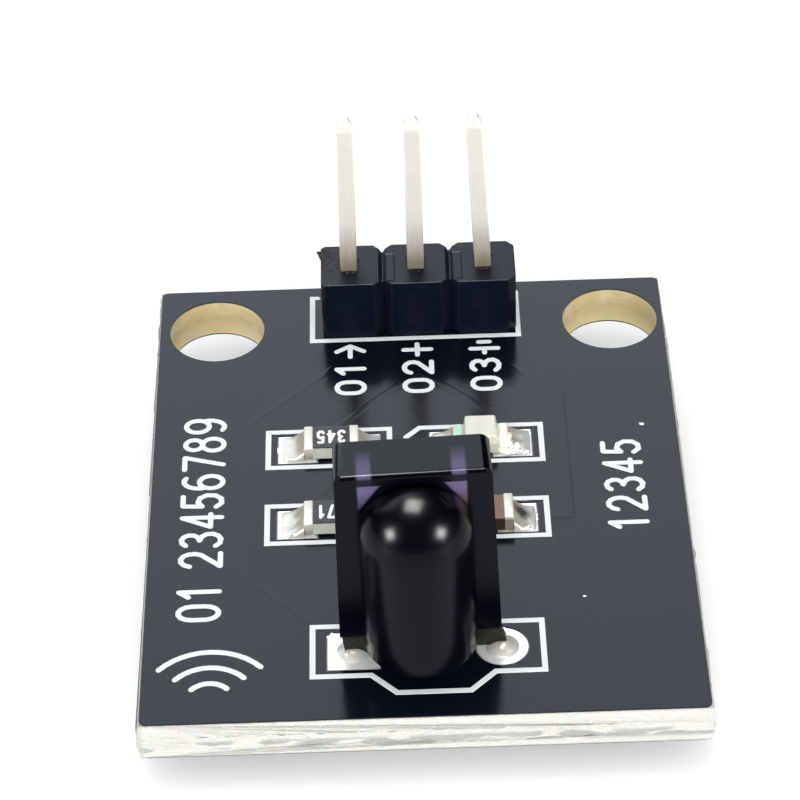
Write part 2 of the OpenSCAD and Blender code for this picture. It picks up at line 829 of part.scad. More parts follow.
// Front view of the body plate: narrower at the top, with round corners
module body_front_view() {
    r = body_corner_r;
    difference() {
        polygon([
            [-body_w / 2, body_bottom], [body_w / 2, body_bottom],
            [body_top_w / 2, body_top], [-body_top_w / 2, body_top]
        ]);
        for (side = [-1, 1])
            translate([side * (body_top_w / 2 - r), body_top - r])
            difference() {
                translate([side > 0 ? 0 : -2 * r, 0])
                square([2 * r, 2 * r]);
                circle(r);
            }
    }
}

// Side view of the body plate, with the ledge at its top front edge
module body_side_view(front) {
    polygon([
        [-front, body_bottom], [body_back, body_bottom], [body_back - body_draft, body_top],
        [-front, body_top]
    ]);
}

// Side view of the ledge, chamfered along its upper edge
module ledge_side_view() {
    y = -body_front - ledge_out;
    polygon([
        [y, body_top - ledge_h], [0, body_top - ledge_h], [0, body_top],
        [y + ledge_chamfer, body_top], [y, body_top - ledge_chamfer]
    ]);
}

module along_x(w) {
    translate([-w / 2, 0, 0])
    rotate([90, 0, 90])
    linear_extrude(w)
    children();
}

module body_block() {
    intersection() {
        union() {
            along_x(body_w)
                body_side_view(body_front);
            along_x(body_top_w - 2 * ledge_side)
                ledge_side_view();
        }
        translate([0, body_back + 1, 0])
        rotate([90, 0, 0])
        linear_extrude(body_back + body_front + ledge_out + 2)
        body_front_view();
    }
    intersection() {
        union() {
            translate([0, lens_y, body_bottom])
                cylinder(h = lens_z, r = lens_r);
            translate([0, lens_y, body_bottom + lens_z])
                sphere(lens_r);
        }
        translate([-lens_r, lens_y - lens_r, body_bottom])
            cube([2 * lens_r, lens_r - lens_y, body_h]);
    }
}

module receiver_body() {
    color("#1a1420")
    receiver_frame()
    difference() {
        body_block();
        receiver_metal();
        photo_chip_block();
        amplifier_chip_block();
    }
}

// Front views of the three leads, which are stamped from one flat sheet
module outer_lead_view(side) {
    outer = body_w / 2 - shoulder_inset;
    inner = outer - shoulder_w;
    shoulder_top = body_bottom + shoulder_depth;
    leg_x = pitch + side * leg_set;
    scale([side, 1]) {
        translate([leg_x - lead_w / 2, -face_z - 1])
            square([lead_w, face_z + 1 + seat_gap + lead_w / 2]);
        polygon([
            [leg_x - lead_w / 2, seat_gap], [leg_x + lead_w / 2, seat_gap],
            [leg_x + lead_w / 2, seat_gap + lead_w / 2],
            [outer, body_bottom - seat_gap],
            [outer, shoulder_top], [strip_x + strip_w / 2, shoulder_top + lead_w],
            [strip_x + strip_w / 2, body_top - strip_top_gap],
            [strip_x - strip_w / 2, body_top - strip_top_gap],
            [strip_x - strip_w / 2, body_bottom + lead_w],
            [inner, body_bottom], [inner, seat_gap]
        ]);
    }
}

module ground_lead_view() {
    translate([leg_set - lead_w / 2, -face_z - 1])
        square([lead_w, face_z + 1 + seat_gap + lead_w]);
    translate([-shoulder_w / 2, seat_gap])
        square([shoulder_w, plate_bottom - seat_gap]);
    translate([-plate_w / 2, plate_bottom])
        square([plate_w, plate_top - plate_bottom]);
}

module lead_sheet() {
    translate([0, lead_t / 2, 0])
    rotate([90, 0, 0])
    linear_extrude(lead_t)
    children();
}

module receiver_metal() {
    lead_sheet()
        outer_lead_view(-1);
    lead_sheet()
        outer_lead_view(1);
    lead_sheet()
        ground_lead_view();
}

// Keeps what lies above the lead tips, where the leads were trimmed level
module trimmed() {
    intersection() {
        children();
        centred_box([2 * board_w, 2 * board_d, 4 * body_top], 0);
    }
}

module receiver_lead() {
    color("#b9b4a6")
    trimmed()
    receiver_frame()
    lead_sheet()
    children();
}

module receiver_output_lead() {
    receiver_lead()
        outer_lead_view(-1);
}

module receiver_ground_lead() {
    receiver_lead()
        ground_lead_view();
}

module receiver_supply_lead() {
    receiver_lead()
        outer_lead_view(1);
}

module photo_chip_block() {
    translate([-photo_chip / 2, chip_front, body_bottom + lens_z - photo_chip / 2])
        cube([photo_chip, chip_t, photo_chip]);
}

module amplifier_chip_block() {
    translate([-amplifier_chip / 2, chip_front, amplifier_z - amplifier_chip / 2])
        cube([amplifier_chip, chip_t, amplifier_chip]);
}

module receiver_photo_chip() {
    color("#4a5568")
    receiver_frame()
    photo_chip_block();
}

module receiver_amplifier_chip() {
    color("#5d6470")
    receiver_frame()
    amplifier_chip_block();
}

module receiver_solder_joints() {
    color("#c4c8cb")
    difference() {
        at_each(receiver_places)
            solder_joint(pad_top_z);
        receiver_frame()
            receiver_metal();
    }
}

// Side view of a resistor's or a capacitor's end cap, wrapped round the end
module end_cap_view(h) {
    difference() {
        translate([smd_l / 2 - cap_l, 0])
            square([cap_l, h]);
        translate([0, cap_t])
            square([smd_l / 2 - cap_t, h - 2 * cap_t]);
    }
}

module across(w) {
    translate([0, w / 2, 0])
    rotate([90, 0, 0])
    linear_extrude(w)
    children();
}

module end_caps(h) {
    color("#cfd1cf")
    for (side = [-1, 1])
        scale([side, 1, 1])
        across(smd_w)
        end_cap_view(h);
}

// The ceramic that the end caps are wrapped round, full height between them
module ceramic(h) {
    across(smd_w)
        translate([-smd_l / 2 + cap_t, cap_t])
        square([smd_l - 2 * cap_t, h - 2 * cap_t]);
}

// Solder under an end cap and up its end, hollowed like a wet fillet
solder_margin = 0.12;
solder_lip = 0.04;

module solder_view(h) {
    end_x = smd_l / 2;
    toe_x = end_x + pad_out - solder_margin;
    rise = min(0.8 * h, pad_out - solder_margin);
    difference() {
        polygon([
            [end_x - cap_l, -solder_film], [toe_x, -solder_film], [end_x + solder_lip, rise],
            [end_x, rise], [end_x, 0], [end_x - cap_l, 0]
        ]);
        translate([toe_x + solder_margin, rise + solder_margin])
            circle(r = rise + solder_lip);
    }
}

module part_solder(h) {
    color("#c4c8cb")
    for (side = [-1, 1])
        scale([side, 1, 1])
        across(smd_w)
        solder_view(h);
}

module smd_frame(place) {
    translate([place[0], place[1], part_z])
    children();
}

resistor_cap_h = resistor_h + 2 * cap_t;

module resistor_ceramic() {
    color("#e8e6df")
    ceramic(resistor_cap_h);
}

module resistor_glaze() {
    color("#16161a")
    translate([0, 0, resistor_cap_h - cap_t])
    centred_box([smd_l - 2 * cap_l, smd_w - 0.1, glaze_t], 0);
}

module resistor_digits(digits) {
    line = 0.11;
    w = 0.32;
    h = 0.72;
    step = 0.38;
    color("#e9ecea")
    rotate(180)
    translate([-w / 2 - step, -h / 2, 0])
    layer(resistor_cap_h - cap_t + glaze_t, print_t)
    digit_row(digits, w, h, step, line);
}

module lamp_resistor_ceramic() {
    smd_frame(lamp_resistor_seat)
    resistor_ceramic();
}

module lamp_resistor_glaze() {
    smd_frame(lamp_resistor_seat)
    resistor_glaze();
}

module lamp_resistor_end_caps() {
    smd_frame(lamp_resistor_seat)
    end_caps(resistor_cap_h);
}

module lamp_resistor_digits() {
    smd_frame(lamp_resistor_seat)
    resistor_digits([3, 4, 5]);
}

module lamp_resistor_solder() {
    smd_frame(lamp_resistor_seat)
    part_solder(resistor_cap_h);
}

module supply_resistor_ceramic() {
    smd_frame(supply_resistor_seat)
    resistor_ceramic();
}

module supply_resistor_glaze() {
    smd_frame(supply_resistor_seat)
    resistor_glaze();
}

module supply_resistor_end_caps() {
    smd_frame(supply_resistor_seat)
    end_caps(resistor_cap_h);
}

module supply_resistor_digits() {
    smd_frame(supply_resistor_seat)
    resistor_digits([6, 7, 1]);
}

module supply_resistor_solder() {
    smd_frame(supply_resistor_seat)
    part_solder(resistor_cap_h);
}

capacitor_cap_h = capacitor_h + 2 * cap_t;

module capacitor_ceramic() {
    color("#a8754f")
    smd_frame(capacitor_seat)
    ceramic(capacitor_cap_h);
}

module capacitor_end_caps() {
    smd_frame(capacitor_seat)
    end_caps(capacitor_cap_h);
}

module capacitor_solder() {
    smd_frame(capacitor_seat)
    part_solder(capacitor_cap_h);
}

lamp_chip_z = lamp_base_h + cap_t;

module lamp_base() {
    color("#dfe3d2")
    smd_frame(lamp_place)
    ceramic(lamp_base_h + 2 * cap_t);
}

module lamp_end_caps() {
    smd_frame(lamp_place)
    end_caps(lamp_base_h + 2 * cap_t);
}

module lamp_solder() {
    smd_frame(lamp_place)
    part_solder(lamp_base_h + 2 * cap_t);
}

module lamp_chip_block() {
    centred_box([lamp_chip, lamp_chip, lamp_chip_h], lamp_chip_z);
}

module lamp_chip_die() {
    color("#c9b06a")
    smd_frame(lamp_place)
    lamp_chip_block();
}

// Clear cap over the chip, between the end caps, with sloping ends
lamp_cap_foot = min(lamp_cap_l, smd_l - 2 * cap_l - 0.02);

module lamp_clear_cap() {
    x = lamp_cap_foot / 2;
    color("#f2efdf")
    smd_frame(lamp_place)
    difference() {
        translate([0, 0, lamp_chip_z])
        across(smd_w)
        polygon([
            [-x, 0], [x, 0], [x - lamp_cap_slope, lamp_cap_h], [-x + lamp_cap_slope, lamp_cap_h]
        ]);
        lamp_chip_block();
    }
}

// Green mark on top of the end cap at the lamp's marked end
module lamp_polarity_mark() {
    mark_l = cap_l - 0.1;
    color("#7fc79a")
    smd_frame(lamp_place)
    translate([-smd_l / 2 + cap_l / 2, 0, 0])
    centred_box([mark_l, smd_w - 0.2, glaze_t], lamp_base_h + 2 * cap_t);
}

laminate();
top_copper();
bottom_copper();
top_solder_mask();
bottom_solder_mask();
header_hole_plating();
receiver_hole_plating();
outline_print();
number_print();
wave_print();
header_insulator();
header_pin_left();
header_pin_middle();
header_pin_right();
header_solder_joints();
receiver_body();
receiver_output_lead();
receiver_ground_lead();
receiver_supply_lead();
receiver_photo_chip();
receiver_amplifier_chip();
receiver_solder_joints();
lamp_resistor_ceramic();
lamp_resistor_glaze();
lamp_resistor_end_caps();
lamp_resistor_digits();
lamp_resistor_solder();
supply_resistor_ceramic();
supply_resistor_glaze();
supply_resistor_end_caps();
supply_resistor_digits();
supply_resistor_solder();
capacitor_ceramic();
capacitor_end_caps();
capacitor_solder();
lamp_base();
lamp_end_caps();
lamp_chip_die();
lamp_clear_cap();
lamp_polarity_mark();
lamp_solder();
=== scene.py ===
"""Infrared receiver module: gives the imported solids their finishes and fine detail."""
import math

import bmesh
import bpy
from bpy.props import FloatProperty, FloatVectorProperty, PointerProperty
from mathutils import Matrix, Vector, noise


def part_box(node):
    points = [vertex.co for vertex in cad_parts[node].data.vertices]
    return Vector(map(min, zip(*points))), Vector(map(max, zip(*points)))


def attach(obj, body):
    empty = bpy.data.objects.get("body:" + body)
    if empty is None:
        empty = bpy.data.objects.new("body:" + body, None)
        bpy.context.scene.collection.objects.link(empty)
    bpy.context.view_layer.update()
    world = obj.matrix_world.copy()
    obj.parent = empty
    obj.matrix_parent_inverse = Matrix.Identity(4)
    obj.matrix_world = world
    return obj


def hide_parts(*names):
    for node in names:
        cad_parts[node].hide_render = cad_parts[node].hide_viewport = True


bl_info = {
    "name": "Infrared receiver module",
    "version": (1, 0, 0),
    "blender": (4, 5, 0),
    "location": "3D View > Sidebar > Receiver",
    "description": "Finishes and fine detail for an infrared receiver module",
    "category": "Object",
}

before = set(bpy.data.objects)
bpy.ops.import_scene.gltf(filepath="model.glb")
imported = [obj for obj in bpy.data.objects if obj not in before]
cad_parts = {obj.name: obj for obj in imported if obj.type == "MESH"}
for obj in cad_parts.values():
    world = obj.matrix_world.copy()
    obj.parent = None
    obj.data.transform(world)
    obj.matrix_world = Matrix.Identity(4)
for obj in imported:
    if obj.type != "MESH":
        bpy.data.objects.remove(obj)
MM = 0.001


def corners_of(node):
    """Lowest and highest corner of a solid, in millimetres."""
    return [Vector(corner) * 1000 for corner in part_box(node)]


BOARD_LOW, BOARD_HIGH = corners_of("laminate")
FACE_Z = corners_of("top_solder_mask")[1].z
HEADER_LOW, HEADER_HIGH = corners_of("header_insulator")

# Places on the board, in millimetres from its middle

MOUNT_CENTRES = [(-7.42, 9.15), (7.58, 9.15)]
MOUNT_R = 1.8
PITCH = 2.54
HEADER_X, HEADER_Y = 0.24, 9.71
HEADER_PINS = [(HEADER_X + i * PITCH, HEADER_Y) for i in (-1, 0, 1)]
HEADER_JOINTS = [HEADER_X + i * PITCH / 2 for i in (-1, 1)]
RECEIVER_X, RECEIVER_Y = 0.17, -8.4
RECEIVER_PADS = [(RECEIVER_X + i * PITCH, RECEIVER_Y) for i in (-1, 0, 1)]
RECEIVER_PLACE = (
    Matrix.Translation((-0.05, -8.35, 2.785))
    @ Matrix.Rotation(math.radians(1.5), 4, "Z")
    @ Matrix.Rotation(math.radians(-0.8), 4, "Y")
)
LEFT_PART_X, RIGHT_PART_X = -3.07, 2.38
REAR_PART_Y = 2.12
# Each surface part: the middle of its pads, and how high its solder climbs
SMALL_PARTS = {
    "lamp_resistor": (LEFT_PART_X, REAR_PART_Y, 0.42),
    "supply_resistor": (LEFT_PART_X, -1.93, 0.42),
    "capacitor": (RIGHT_PART_X, -2.03, 0.5),
    "lamp": (RIGHT_PART_X, REAR_PART_Y, 0.34),
}
# Middle of the painted shade in the capacitor's solder hollow
SHADED_HOLLOW = (3.68, -1.9)
LAMP_BEAD = (3.22, 1.84, 3.02)
PRINT_SPECKS = ((8.32, 2.92, 0.09), (5.66, -6.09, 0.06))
# Half the outline of the solder round a lead: distance out, and height over the face
CONE_PROFILE = (
    (0.0, 0.26), (0.24, 0.24), (0.36, 0.16), (0.47, 0.05), (0.58, -0.01), (0.58, -0.03), (0.0, -0.03))
TRACK_R = 0.16
TRACKS = [
    [(-2.3, 9.71), (-2.3, 7.41), (-6.01, 3.7), (-6.01, -4.76), (-3.3, -7.47)],
    [(0.24, 9.71), (0.24, 6.41), (-3.17, 3.0), (-3.17, 0.0), (-4.25, -1.08)],
    [(0.24, 6.41), (2.54, 4.11), (3.3, 4.11)],
    [(-1.2, 2.12), (0.4, 2.12)],
    [(-1.2, -1.93), (0.4, -1.93)],
    [(1.24, -2.8), (1.24, -6.1), (2.5, -7.36)],
    [(2.78, 9.71), (2.78, 7.41), (5.42, 4.77), (5.42, -1.93), (4.4, -1.93)],
]

# The receiver's moulding in its own frame, x across its front and z up

MOULDING_LOW, MOULDING_TOP = 1.015, 8.355
PLATE_HALF_W, PLATE_TOP_HALF_W = 2.75, 2.58
PLATE_FRONT, PLATE_BACK, PLATE_TOP_BACK = -0.3, 1.44, 1.32
LEDGE_HALF_W, LEDGE_FRONT, LEDGE_H = 2.44, -0.48, 0.42
LENS_R, LENS_Y = 1.92, -0.6
LENS_Z = MOULDING_LOW + 4.9
STRIP_IN, STRIP_OUT = 1.32, 1.78

# The camera that took the photo, in metres

CAMERA_LENS = 145.4966
CAMERA_PLACE = Matrix((
    (0.999440, 0.033398, 0.001981, -0.000284),
    (-0.020103, 0.646804, -0.762391, -0.086953),
    (-0.026744, 0.761924, 0.647114, 0.080619),
    (0.000000, 0.000000, 0.000000, 1.000000),
))


# Shader maths


class Value:
    """A number that varies over a surface, so that expressions add Math nodes."""

    def __init__(self, finish, socket):
        self.finish = finish
        self.socket = socket

    def math(self, operation, *others, clamp=False):
        values = {0: self}
        values.update({i + 1: other for i, other in enumerate(others)})
        settings = {"operation": operation, "use_clamp": clamp}
        return Value(self.finish, self.finish.node("ShaderNodeMath", settings, values).outputs[0])

    def __add__(self, other):
        return self.math("ADD", other)

    __radd__ = __add__

    def __sub__(self, other):
        return self.math("SUBTRACT", other)

    def __rsub__(self, other):
        return self.math("MULTIPLY_ADD", -1.0, other)

    def __mul__(self, other):
        return self.math("MULTIPLY", other)

    __rmul__ = __mul__

    def __truediv__(self, other):
        return self.math("DIVIDE", other)

    def __pow__(self, other):
        return self.math("POWER", other)

    def clamped(self):
        return self.math("ADD", 0.0, clamp=True)

    def step(self, low, high):
        """0 below low and 1 above high, smooth in between."""
        return ((self - low) / (high - low)).clamped()

    def bigger(self, other):
        return self.math("MAXIMUM", other)

    def smaller(self, other):
        return self.math("MINIMUM", other)

    def size(self):
        return self.math("ABSOLUTE")


class Finish:
    """One material, built node by node in millimetres on Object coordinates."""

    def __init__(self, name):
        self.material = bpy.data.materials.new(name)
        self.material.use_nodes = True
        self.tree = self.material.node_tree
        self.tree.nodes.clear()
        self.out = self.tree.nodes.new("ShaderNodeOutputMaterial")
        place = self.node("ShaderNodeTexCoord")
        scaled = self.node("ShaderNodeVectorMath", {"operation": "SCALE"}, {
            0: place.outputs["Object"], "Scale": 1000.0})
        self.place = scaled.outputs[0]
        split = self.node("ShaderNodeSeparateXYZ", inputs={0: self.place})
        self.x, self.y, self.z = (Value(self, split.outputs[i]) for i in range(3))

    def node(self, kind, settings=None, inputs=None):
        made = self.tree.nodes.new(kind)
        for name, setting in (settings or {}).items():
            setattr(made, name, setting)
        for name, given in (inputs or {}).items():
            socket = made.inputs[name]
            if isinstance(given, Value):
                given = given.socket
            if isinstance(given, bpy.types.NodeSocket):
                self.tree.links.new(given, socket)
            elif hasattr(socket.default_value, "__len__"):
                wanted = len(socket.default_value)
                given = list(given) + [1.0] * (wanted - len(given))
                socket.default_value = given[:wanted]
            else:
                socket.default_value = given
        return made

    def stretched(self, scale, turn=(0.0, 0.0, 0.0)):
        """The place with each axis scaled: a pattern on it is long where the scale is small."""
        mapping = self.node("ShaderNodeMapping", inputs={
            "Vector": self.place, "Rotation": turn, "Scale": scale})
        return mapping.outputs[0]

    def noise(self, size, detail=2.0, roughness=0.5, place=None):
        """Soft noise from 0 to 1 whose lumps are about that many millimetres."""
        made = self.node("ShaderNodeTexNoise", inputs={
            "Vector": place or self.place, "Scale": 1.0 / size, "Detail": detail, "Roughness": roughness})
        return Value(self, made.outputs["Fac"])

    def cells(self, size, place):
        """Distance from the nearest middle of uneven cells about that many millimetres wide."""
        made = self.node("ShaderNodeTexVoronoi", inputs={"Vector": place, "Scale": 1.0 / size})
        return Value(self, made.outputs["Distance"])

    def mix(self, factor, low, high):
        """Colour from low to high."""
        made = self.node("ShaderNodeMix", {"data_type": "RGBA"}, {"Factor": factor, 6: low, 7: high})
        return made.outputs[2]

    def bump(self, height, distance):
        """Height from 0 to 1 that stands for that many millimetres."""
        made = self.node("ShaderNodeBump", inputs={
            "Height": height, "Distance": distance * MM, "Strength": 1.0})
        return made.outputs[0]

    def surface(self, **sockets):
        """Ends the tree in one Principled shader, whose sockets are given in lower case."""
        sockets.setdefault("ior", 1.3)
        names = {name.replace("_", " ").title().replace("Ior", "IOR"): given
                 for name, given in sockets.items()}
        shader = self.node("ShaderNodeBsdfPrincipled", inputs=names)
        self.tree.links.new(shader.outputs[0], self.out.inputs["Surface"])
        return self.material


def wear(node, finish):
    """Puts a finish on a carried-over solid."""
    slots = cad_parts[node].material_slots
    if not slots:
        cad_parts[node].data.materials.append(finish)
    for slot in slots:
        slot.material = finish


# Shapes


def copy_of(node):
    """The solid's mesh in millimetres, merged and with its flat faces whole."""
    mesh = bmesh.new()
    mesh.from_mesh(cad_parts[node].data)
    bmesh.ops.scale(mesh, vec=(1000, 1000, 1000), verts=mesh.verts)
    bmesh.ops.remove_doubles(mesh, verts=mesh.verts, dist=0.0005)
    bmesh.ops.dissolve_degenerate(mesh, dist=0.0005, edges=mesh.edges)
    bmesh.ops.dissolve_limit(mesh, angle_limit=math.radians(0.5), verts=mesh.verts, edges=mesh.edges)
    return mesh


def soften(mesh, width, segments=2, angle=30):
    """Rounds every edge that is sharper than the angle."""
    sharp = [edge for edge in mesh.edges
             if len(edge.link_faces) == 2 and edge.calc_face_angle(0) > math.radians(angle)]
    bmesh.ops.bevel(
        mesh, geom=sharp, offset=width, offset_type="OFFSET", segments=segments, profile=0.5,
        affect="EDGES", material=-1, clamp_overlap=True)


def piece_from(mesh, name, finish, stands_for=(), crease=40, weighted=True):
    """Makes an object of a mesh in millimetres and puts it on the model's body."""
    bmesh.ops.scale(mesh, vec=(MM, MM, MM), verts=mesh.verts)
    for face in mesh.faces:
        face.smooth = True
    for edge in mesh.edges:
        edge.smooth = len(edge.link_faces) != 2 or edge.calc_face_angle(0) < math.radians(crease)
    data = bpy.data.meshes.new(name)
    mesh.to_mesh(data)
    mesh.free()
    data.materials.append(finish)
    piece = bpy.data.objects.new(name, data)
    bpy.context.scene.collection.objects.link(piece)
    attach(piece, "root")
    if stands_for:
        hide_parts(*stands_for)
    if weighted:
        modifier = piece.modifiers.new("even_shading", "WEIGHTED_NORMAL")
        modifier.keep_sharp = True
    return piece


def softened(node, width, finish, segments=2, angle=30):
    """A solid's own shape with its edges rounded."""
    mesh = copy_of(node)
    soften(mesh, width, segments, angle)
    return piece_from(mesh, node + "_rounded", finish, [node])


def box_mesh(mesh, low, high):
    """Adds a box between two corners, and gives its vertices."""
    made = bmesh.ops.create_cube(mesh, size=1.0)["verts"]
    size = Vector(high) - Vector(low)
    bmesh.ops.scale(mesh, vec=size, verts=made)
    bmesh.ops.translate(mesh, vec=(Vector(high) + Vector(low)) / 2, verts=made)
    return made


def spun(mesh, profile, centre, steps=48):
    """Adds a closed turn of a profile of (radius, height) points about a vertical axis."""
    made = [mesh.verts.new((centre[0] + r, centre[1], z)) for r, z in profile]
    edges = [mesh.edges.new(pair) for pair in zip(made, made[1:])]
    bmesh.ops.spin(
        mesh, geom=made + edges, cent=(centre[0], centre[1], 0), axis=(0, 0, 1),
        angle=2 * math.pi, steps=steps, use_merge=True, use_duplicate=False)
    bmesh.ops.remove_doubles(mesh, verts=mesh.verts, dist=0.0005)
    bmesh.ops.recalc_face_normals(mesh, faces=mesh.faces)


def uneven(place):
    """A push of up to one in any direction, soft from place to place and the same in every run."""
    return Vector([noise.noise(place + Vector((0.0, 0.0, shift))) for shift in (0.0, 31.4, 67.8)])


def rough_ball(mesh, centre, size):
    """Adds an uneven ball of three half sizes."""
    made = bmesh.ops.create_icosphere(mesh, subdivisions=3, radius=1.0)["verts"]
    for vert in made:
        vert.co *= 1 + 0.5 * noise.noise(vert.co * 1.7 + Vector(centre) * 3)
        vert.co = Vector(centre) + Vector(a * b for a, b in zip(vert.co, size))


def fillet(mesh, centre, side, reach, half, rise, low):
    """Adds solder hollowed from a cap's end, one millimetre out, to the edge of its pad."""
    columns, rows = 14, 12
    grid = []
    for i in range(columns + 1):
        u = i / columns
        line = []
        for k in range(-rows, rows + 1):
            v = k / rows
            shoulder = math.sqrt(max(0.0, 1 - abs(v) ** 4))
            foot = math.sqrt(max(0.0, 1 - u ** 4))
            wave = 0.06 * noise.noise(Vector((centre[0] + u * 2, centre[1] + v * 2, side)))
            x = centre[0] + side * (1 + reach * u * (1 - 0.06 * v ** 4))
            y = centre[1] + half * (1.0 - 0.05 * u ** 3) * v
            hollow = rise * (1 - u) ** 2.4 * (0.5 + 0.5 * shoulder)
            z = low + 0.07 * foot * shoulder + hollow + wave * foot * shoulder
            line.append(mesh.verts.new((x, y, z)))
        grid.append(line)
    base = [[mesh.verts.new((vert.co.x, vert.co.y, low)) for vert in line] for line in grid]
    for a, b in zip(grid, grid[1:]):
        for k in range(2 * rows):
            mesh.faces.new((a[k], a[k + 1], b[k + 1], b[k]))
    for a, b in zip(base, base[1:]):
        for k in range(2 * rows):
            mesh.faces.new((a[k], b[k], b[k + 1], a[k + 1]))
    rim = ([line[0] for line in grid] + grid[-1][1:] + [line[-1] for line in reversed(grid[:-1])]
           + list(reversed(grid[0][1:-1])))
    foot_rim = ([line[0] for line in base] + base[-1][1:] + [line[-1] for line in reversed(base[:-1])]
                + list(reversed(base[0][1:-1])))
    for i in range(len(rim)):
        k = (i + 1) % len(rim)
        mesh.faces.new((rim[i], rim[k], foot_rim[k], foot_rim[i]))


# Finishes


def make_solder_mask(colours):
    """Glossy black lacquer with the grain of orange peel."""
    f = Finish("black_solder_mask")
    peel = f.noise(0.45, 2.0)
    fine = f.noise(0.05, 2.0, 0.6)
    cloud = f.noise(4.0, 2.0)
    base = f.mix(cloud, colours.mask, [c * 1.5 for c in colours.mask])
    return f.surface(
        base_color=base, roughness=0.08 + 0.05 * cloud + 0.08 * fine, ior=1.26,
        normal=f.bump(peel + 0.4 * fine, 0.004))


def make_white_print(colours):
    """Matt ink, slightly speckled."""
    f = Finish("white_print")
    speckle = f.noise(0.05, 3.0, 0.7)
    cloud = f.noise(0.7, 2.0)
    cover = speckle.step(0.3, 0.6) * 0.6 + 0.4 * cloud
    base = f.mix(cover, [c * 0.93 for c in colours.print_white], colours.print_white)
    return f.surface(base_color=base, roughness=0.5 + 0.2 * speckle, normal=f.bump(speckle, 0.01))


def make_laminate(colours):
    """Torn resin and glass all round, grey bundles low down, painted shade at the left edge, and browner
    drilled walls with painted light from the floor low down.
    """
    f = Finish("glass_laminate")
    level = (f.z - BOARD_LOW.z) / (BOARD_HIGH.z - BOARD_LOW.z)
    layers = f.noise(0.16, 3.0, 0.6, f.stretched((0.5, 0.5, 3.0)))
    fibres = f.noise(0.035, 2.0, 0.65, f.stretched((1.0, 1.0, 0.35)))
    torn = layers.step(0.35, 0.62) * 0.5 + fibres.step(0.38, 0.62) * 0.5
    ovals = f.cells(0.8, f.stretched((0.6, 0.6, 2.4)))
    low_web = level.step(0.16, 0.26) * (1 - level.step(0.46, 0.56))
    grey = (1 - ovals.step(0.5, 0.6)) * low_web
    stains = f.noise(1.6, 3.0, 0.6).step(0.45, 0.7)
    rim = 1 - level.step(0.0, 0.05) + level.step(0.95, 1.0) * layers.step(0.4, 0.55) * 0.6
    edge = f.mix(torn, colours.resin_shade, colours.fibre)
    edge = f.mix(stains * 0.3, edge, colours.resin)
    edge = f.mix(grey * 0.85, edge, colours.bundle)
    # Painted shade: the laminate darkens towards the board's left edge.
    left = 1 - (f.x - BOARD_LOW.x).step(0.12, 0.3)
    edge = f.mix(left * 0.7, edge, colours.resin_left_shade)
    edge = f.mix((rim * 0.6).clamped(), edge, colours.resin_rim)
    near = None
    for x, y in MOUNT_CENTRES:
        reach = ((f.x - x) ** 2.0 + (f.y - y) ** 2.0) ** 0.5
        near = reach if near is None else near.smaller(reach)
    hole = 1 - near.step(MOUNT_R + 0.06, MOUNT_R + 0.12)
    patches = f.noise(0.9, 3.0, 0.5)
    streaks = f.noise(0.25, 3.0, 0.6, f.stretched((0.5, 0.5, 2.5), (0.5, 0.3, 0.0)))
    # Painted light: the drilled wall's own colour turns lighter low down, standing for light bounced off
    # the floor.
    wall = f.mix(level.step(0.0, 0.5), colours.hole_low_bounce_lit, colours.hole_wall)
    pale = patches.step(0.5, 0.75) * 0.35 + streaks.step(0.45, 0.75) * 0.25
    wall = f.mix(pale.clamped(), wall, colours.fibre)
    height = torn * 0.8 + ovals * low_web * 0.4
    return f.surface(
        base_color=f.mix(hole, edge, wall), roughness=0.6 + 0.2 * torn, subsurface_weight=0.25,
        subsurface_radius=(0.0006, 0.0005, 0.0003), normal=f.bump(height * (1 - 0.6 * hole), 0.06))


def make_metal(name, colour, rough, lumps=0.5, height=0.004, along=None, tarnish=0.25, bare=1.0, foot=None):
    """A plated or soldered metal: along stretches its streaks, bare under 1 is frosty,
    and foot gives two heights below which it is painted darker as painted shade, fading out between them."""
    f = Finish(name)
    place = f.stretched(along) if along else f.place
    streak = f.noise(0.12, 3.0, 0.6, place)
    cloud = f.noise(lumps, 2.0)
    dull = (streak * 0.5 + cloud * 0.5).step(0.35, 0.7) * tarnish
    base = f.mix(dull, colour, [c * 0.62 for c in colour])
    if foot:
        # Painted shade: the metal is darker below the foot heights.
        low = (1 - f.z.step(*foot)) * (0.7 + 0.6 * streak)
        base = f.mix(low.clamped(), base, [c * s for c, s in zip(colour, (0.34, 0.3, 0.25))])
    return f.surface(
        base_color=base, metallic=bare - 0.15 * dull, roughness=rough + 0.14 * dull + 0.06 * streak,
        ior=1.45, normal=f.bump(cloud + 0.5 * streak, height))


def make_solder(colours):
    """Frosty solder that turns brown with flux where it climbs, with painted shade
    in a hollow at the capacitor."""
    f = Finish("frosty_solder")
    cloud = f.noise(0.5, 2.0)
    spots = f.noise(0.25, 3.0, 0.6)
    climb = f.z.step(FACE_Z + 0.06, FACE_Z + 0.3) * 0.7 + spots.step(0.5, 0.7) * 0.3
    base = f.mix(climb.clamped(), colours.solder, colours.flux)
    # Painted shade: a near-black spot in the hollow of the capacitor's solder.
    x, y = SHADED_HOLLOW
    hollow = ((f.x - x) ** 2.0 + (f.y - y) ** 2.0) ** 0.5 + 0.3 * spots
    base = f.mix((1 - hollow.step(0.3, 0.55)) * 0.9, base, colours.hollow)
    bare = 0.2 * (1 - climb).clamped()
    return f.surface(
        base_color=base, metallic=0.14 + bare * cloud, roughness=0.22 + 0.2 * spots,
        normal=f.bump(cloud + 0.4 * spots, 0.03))


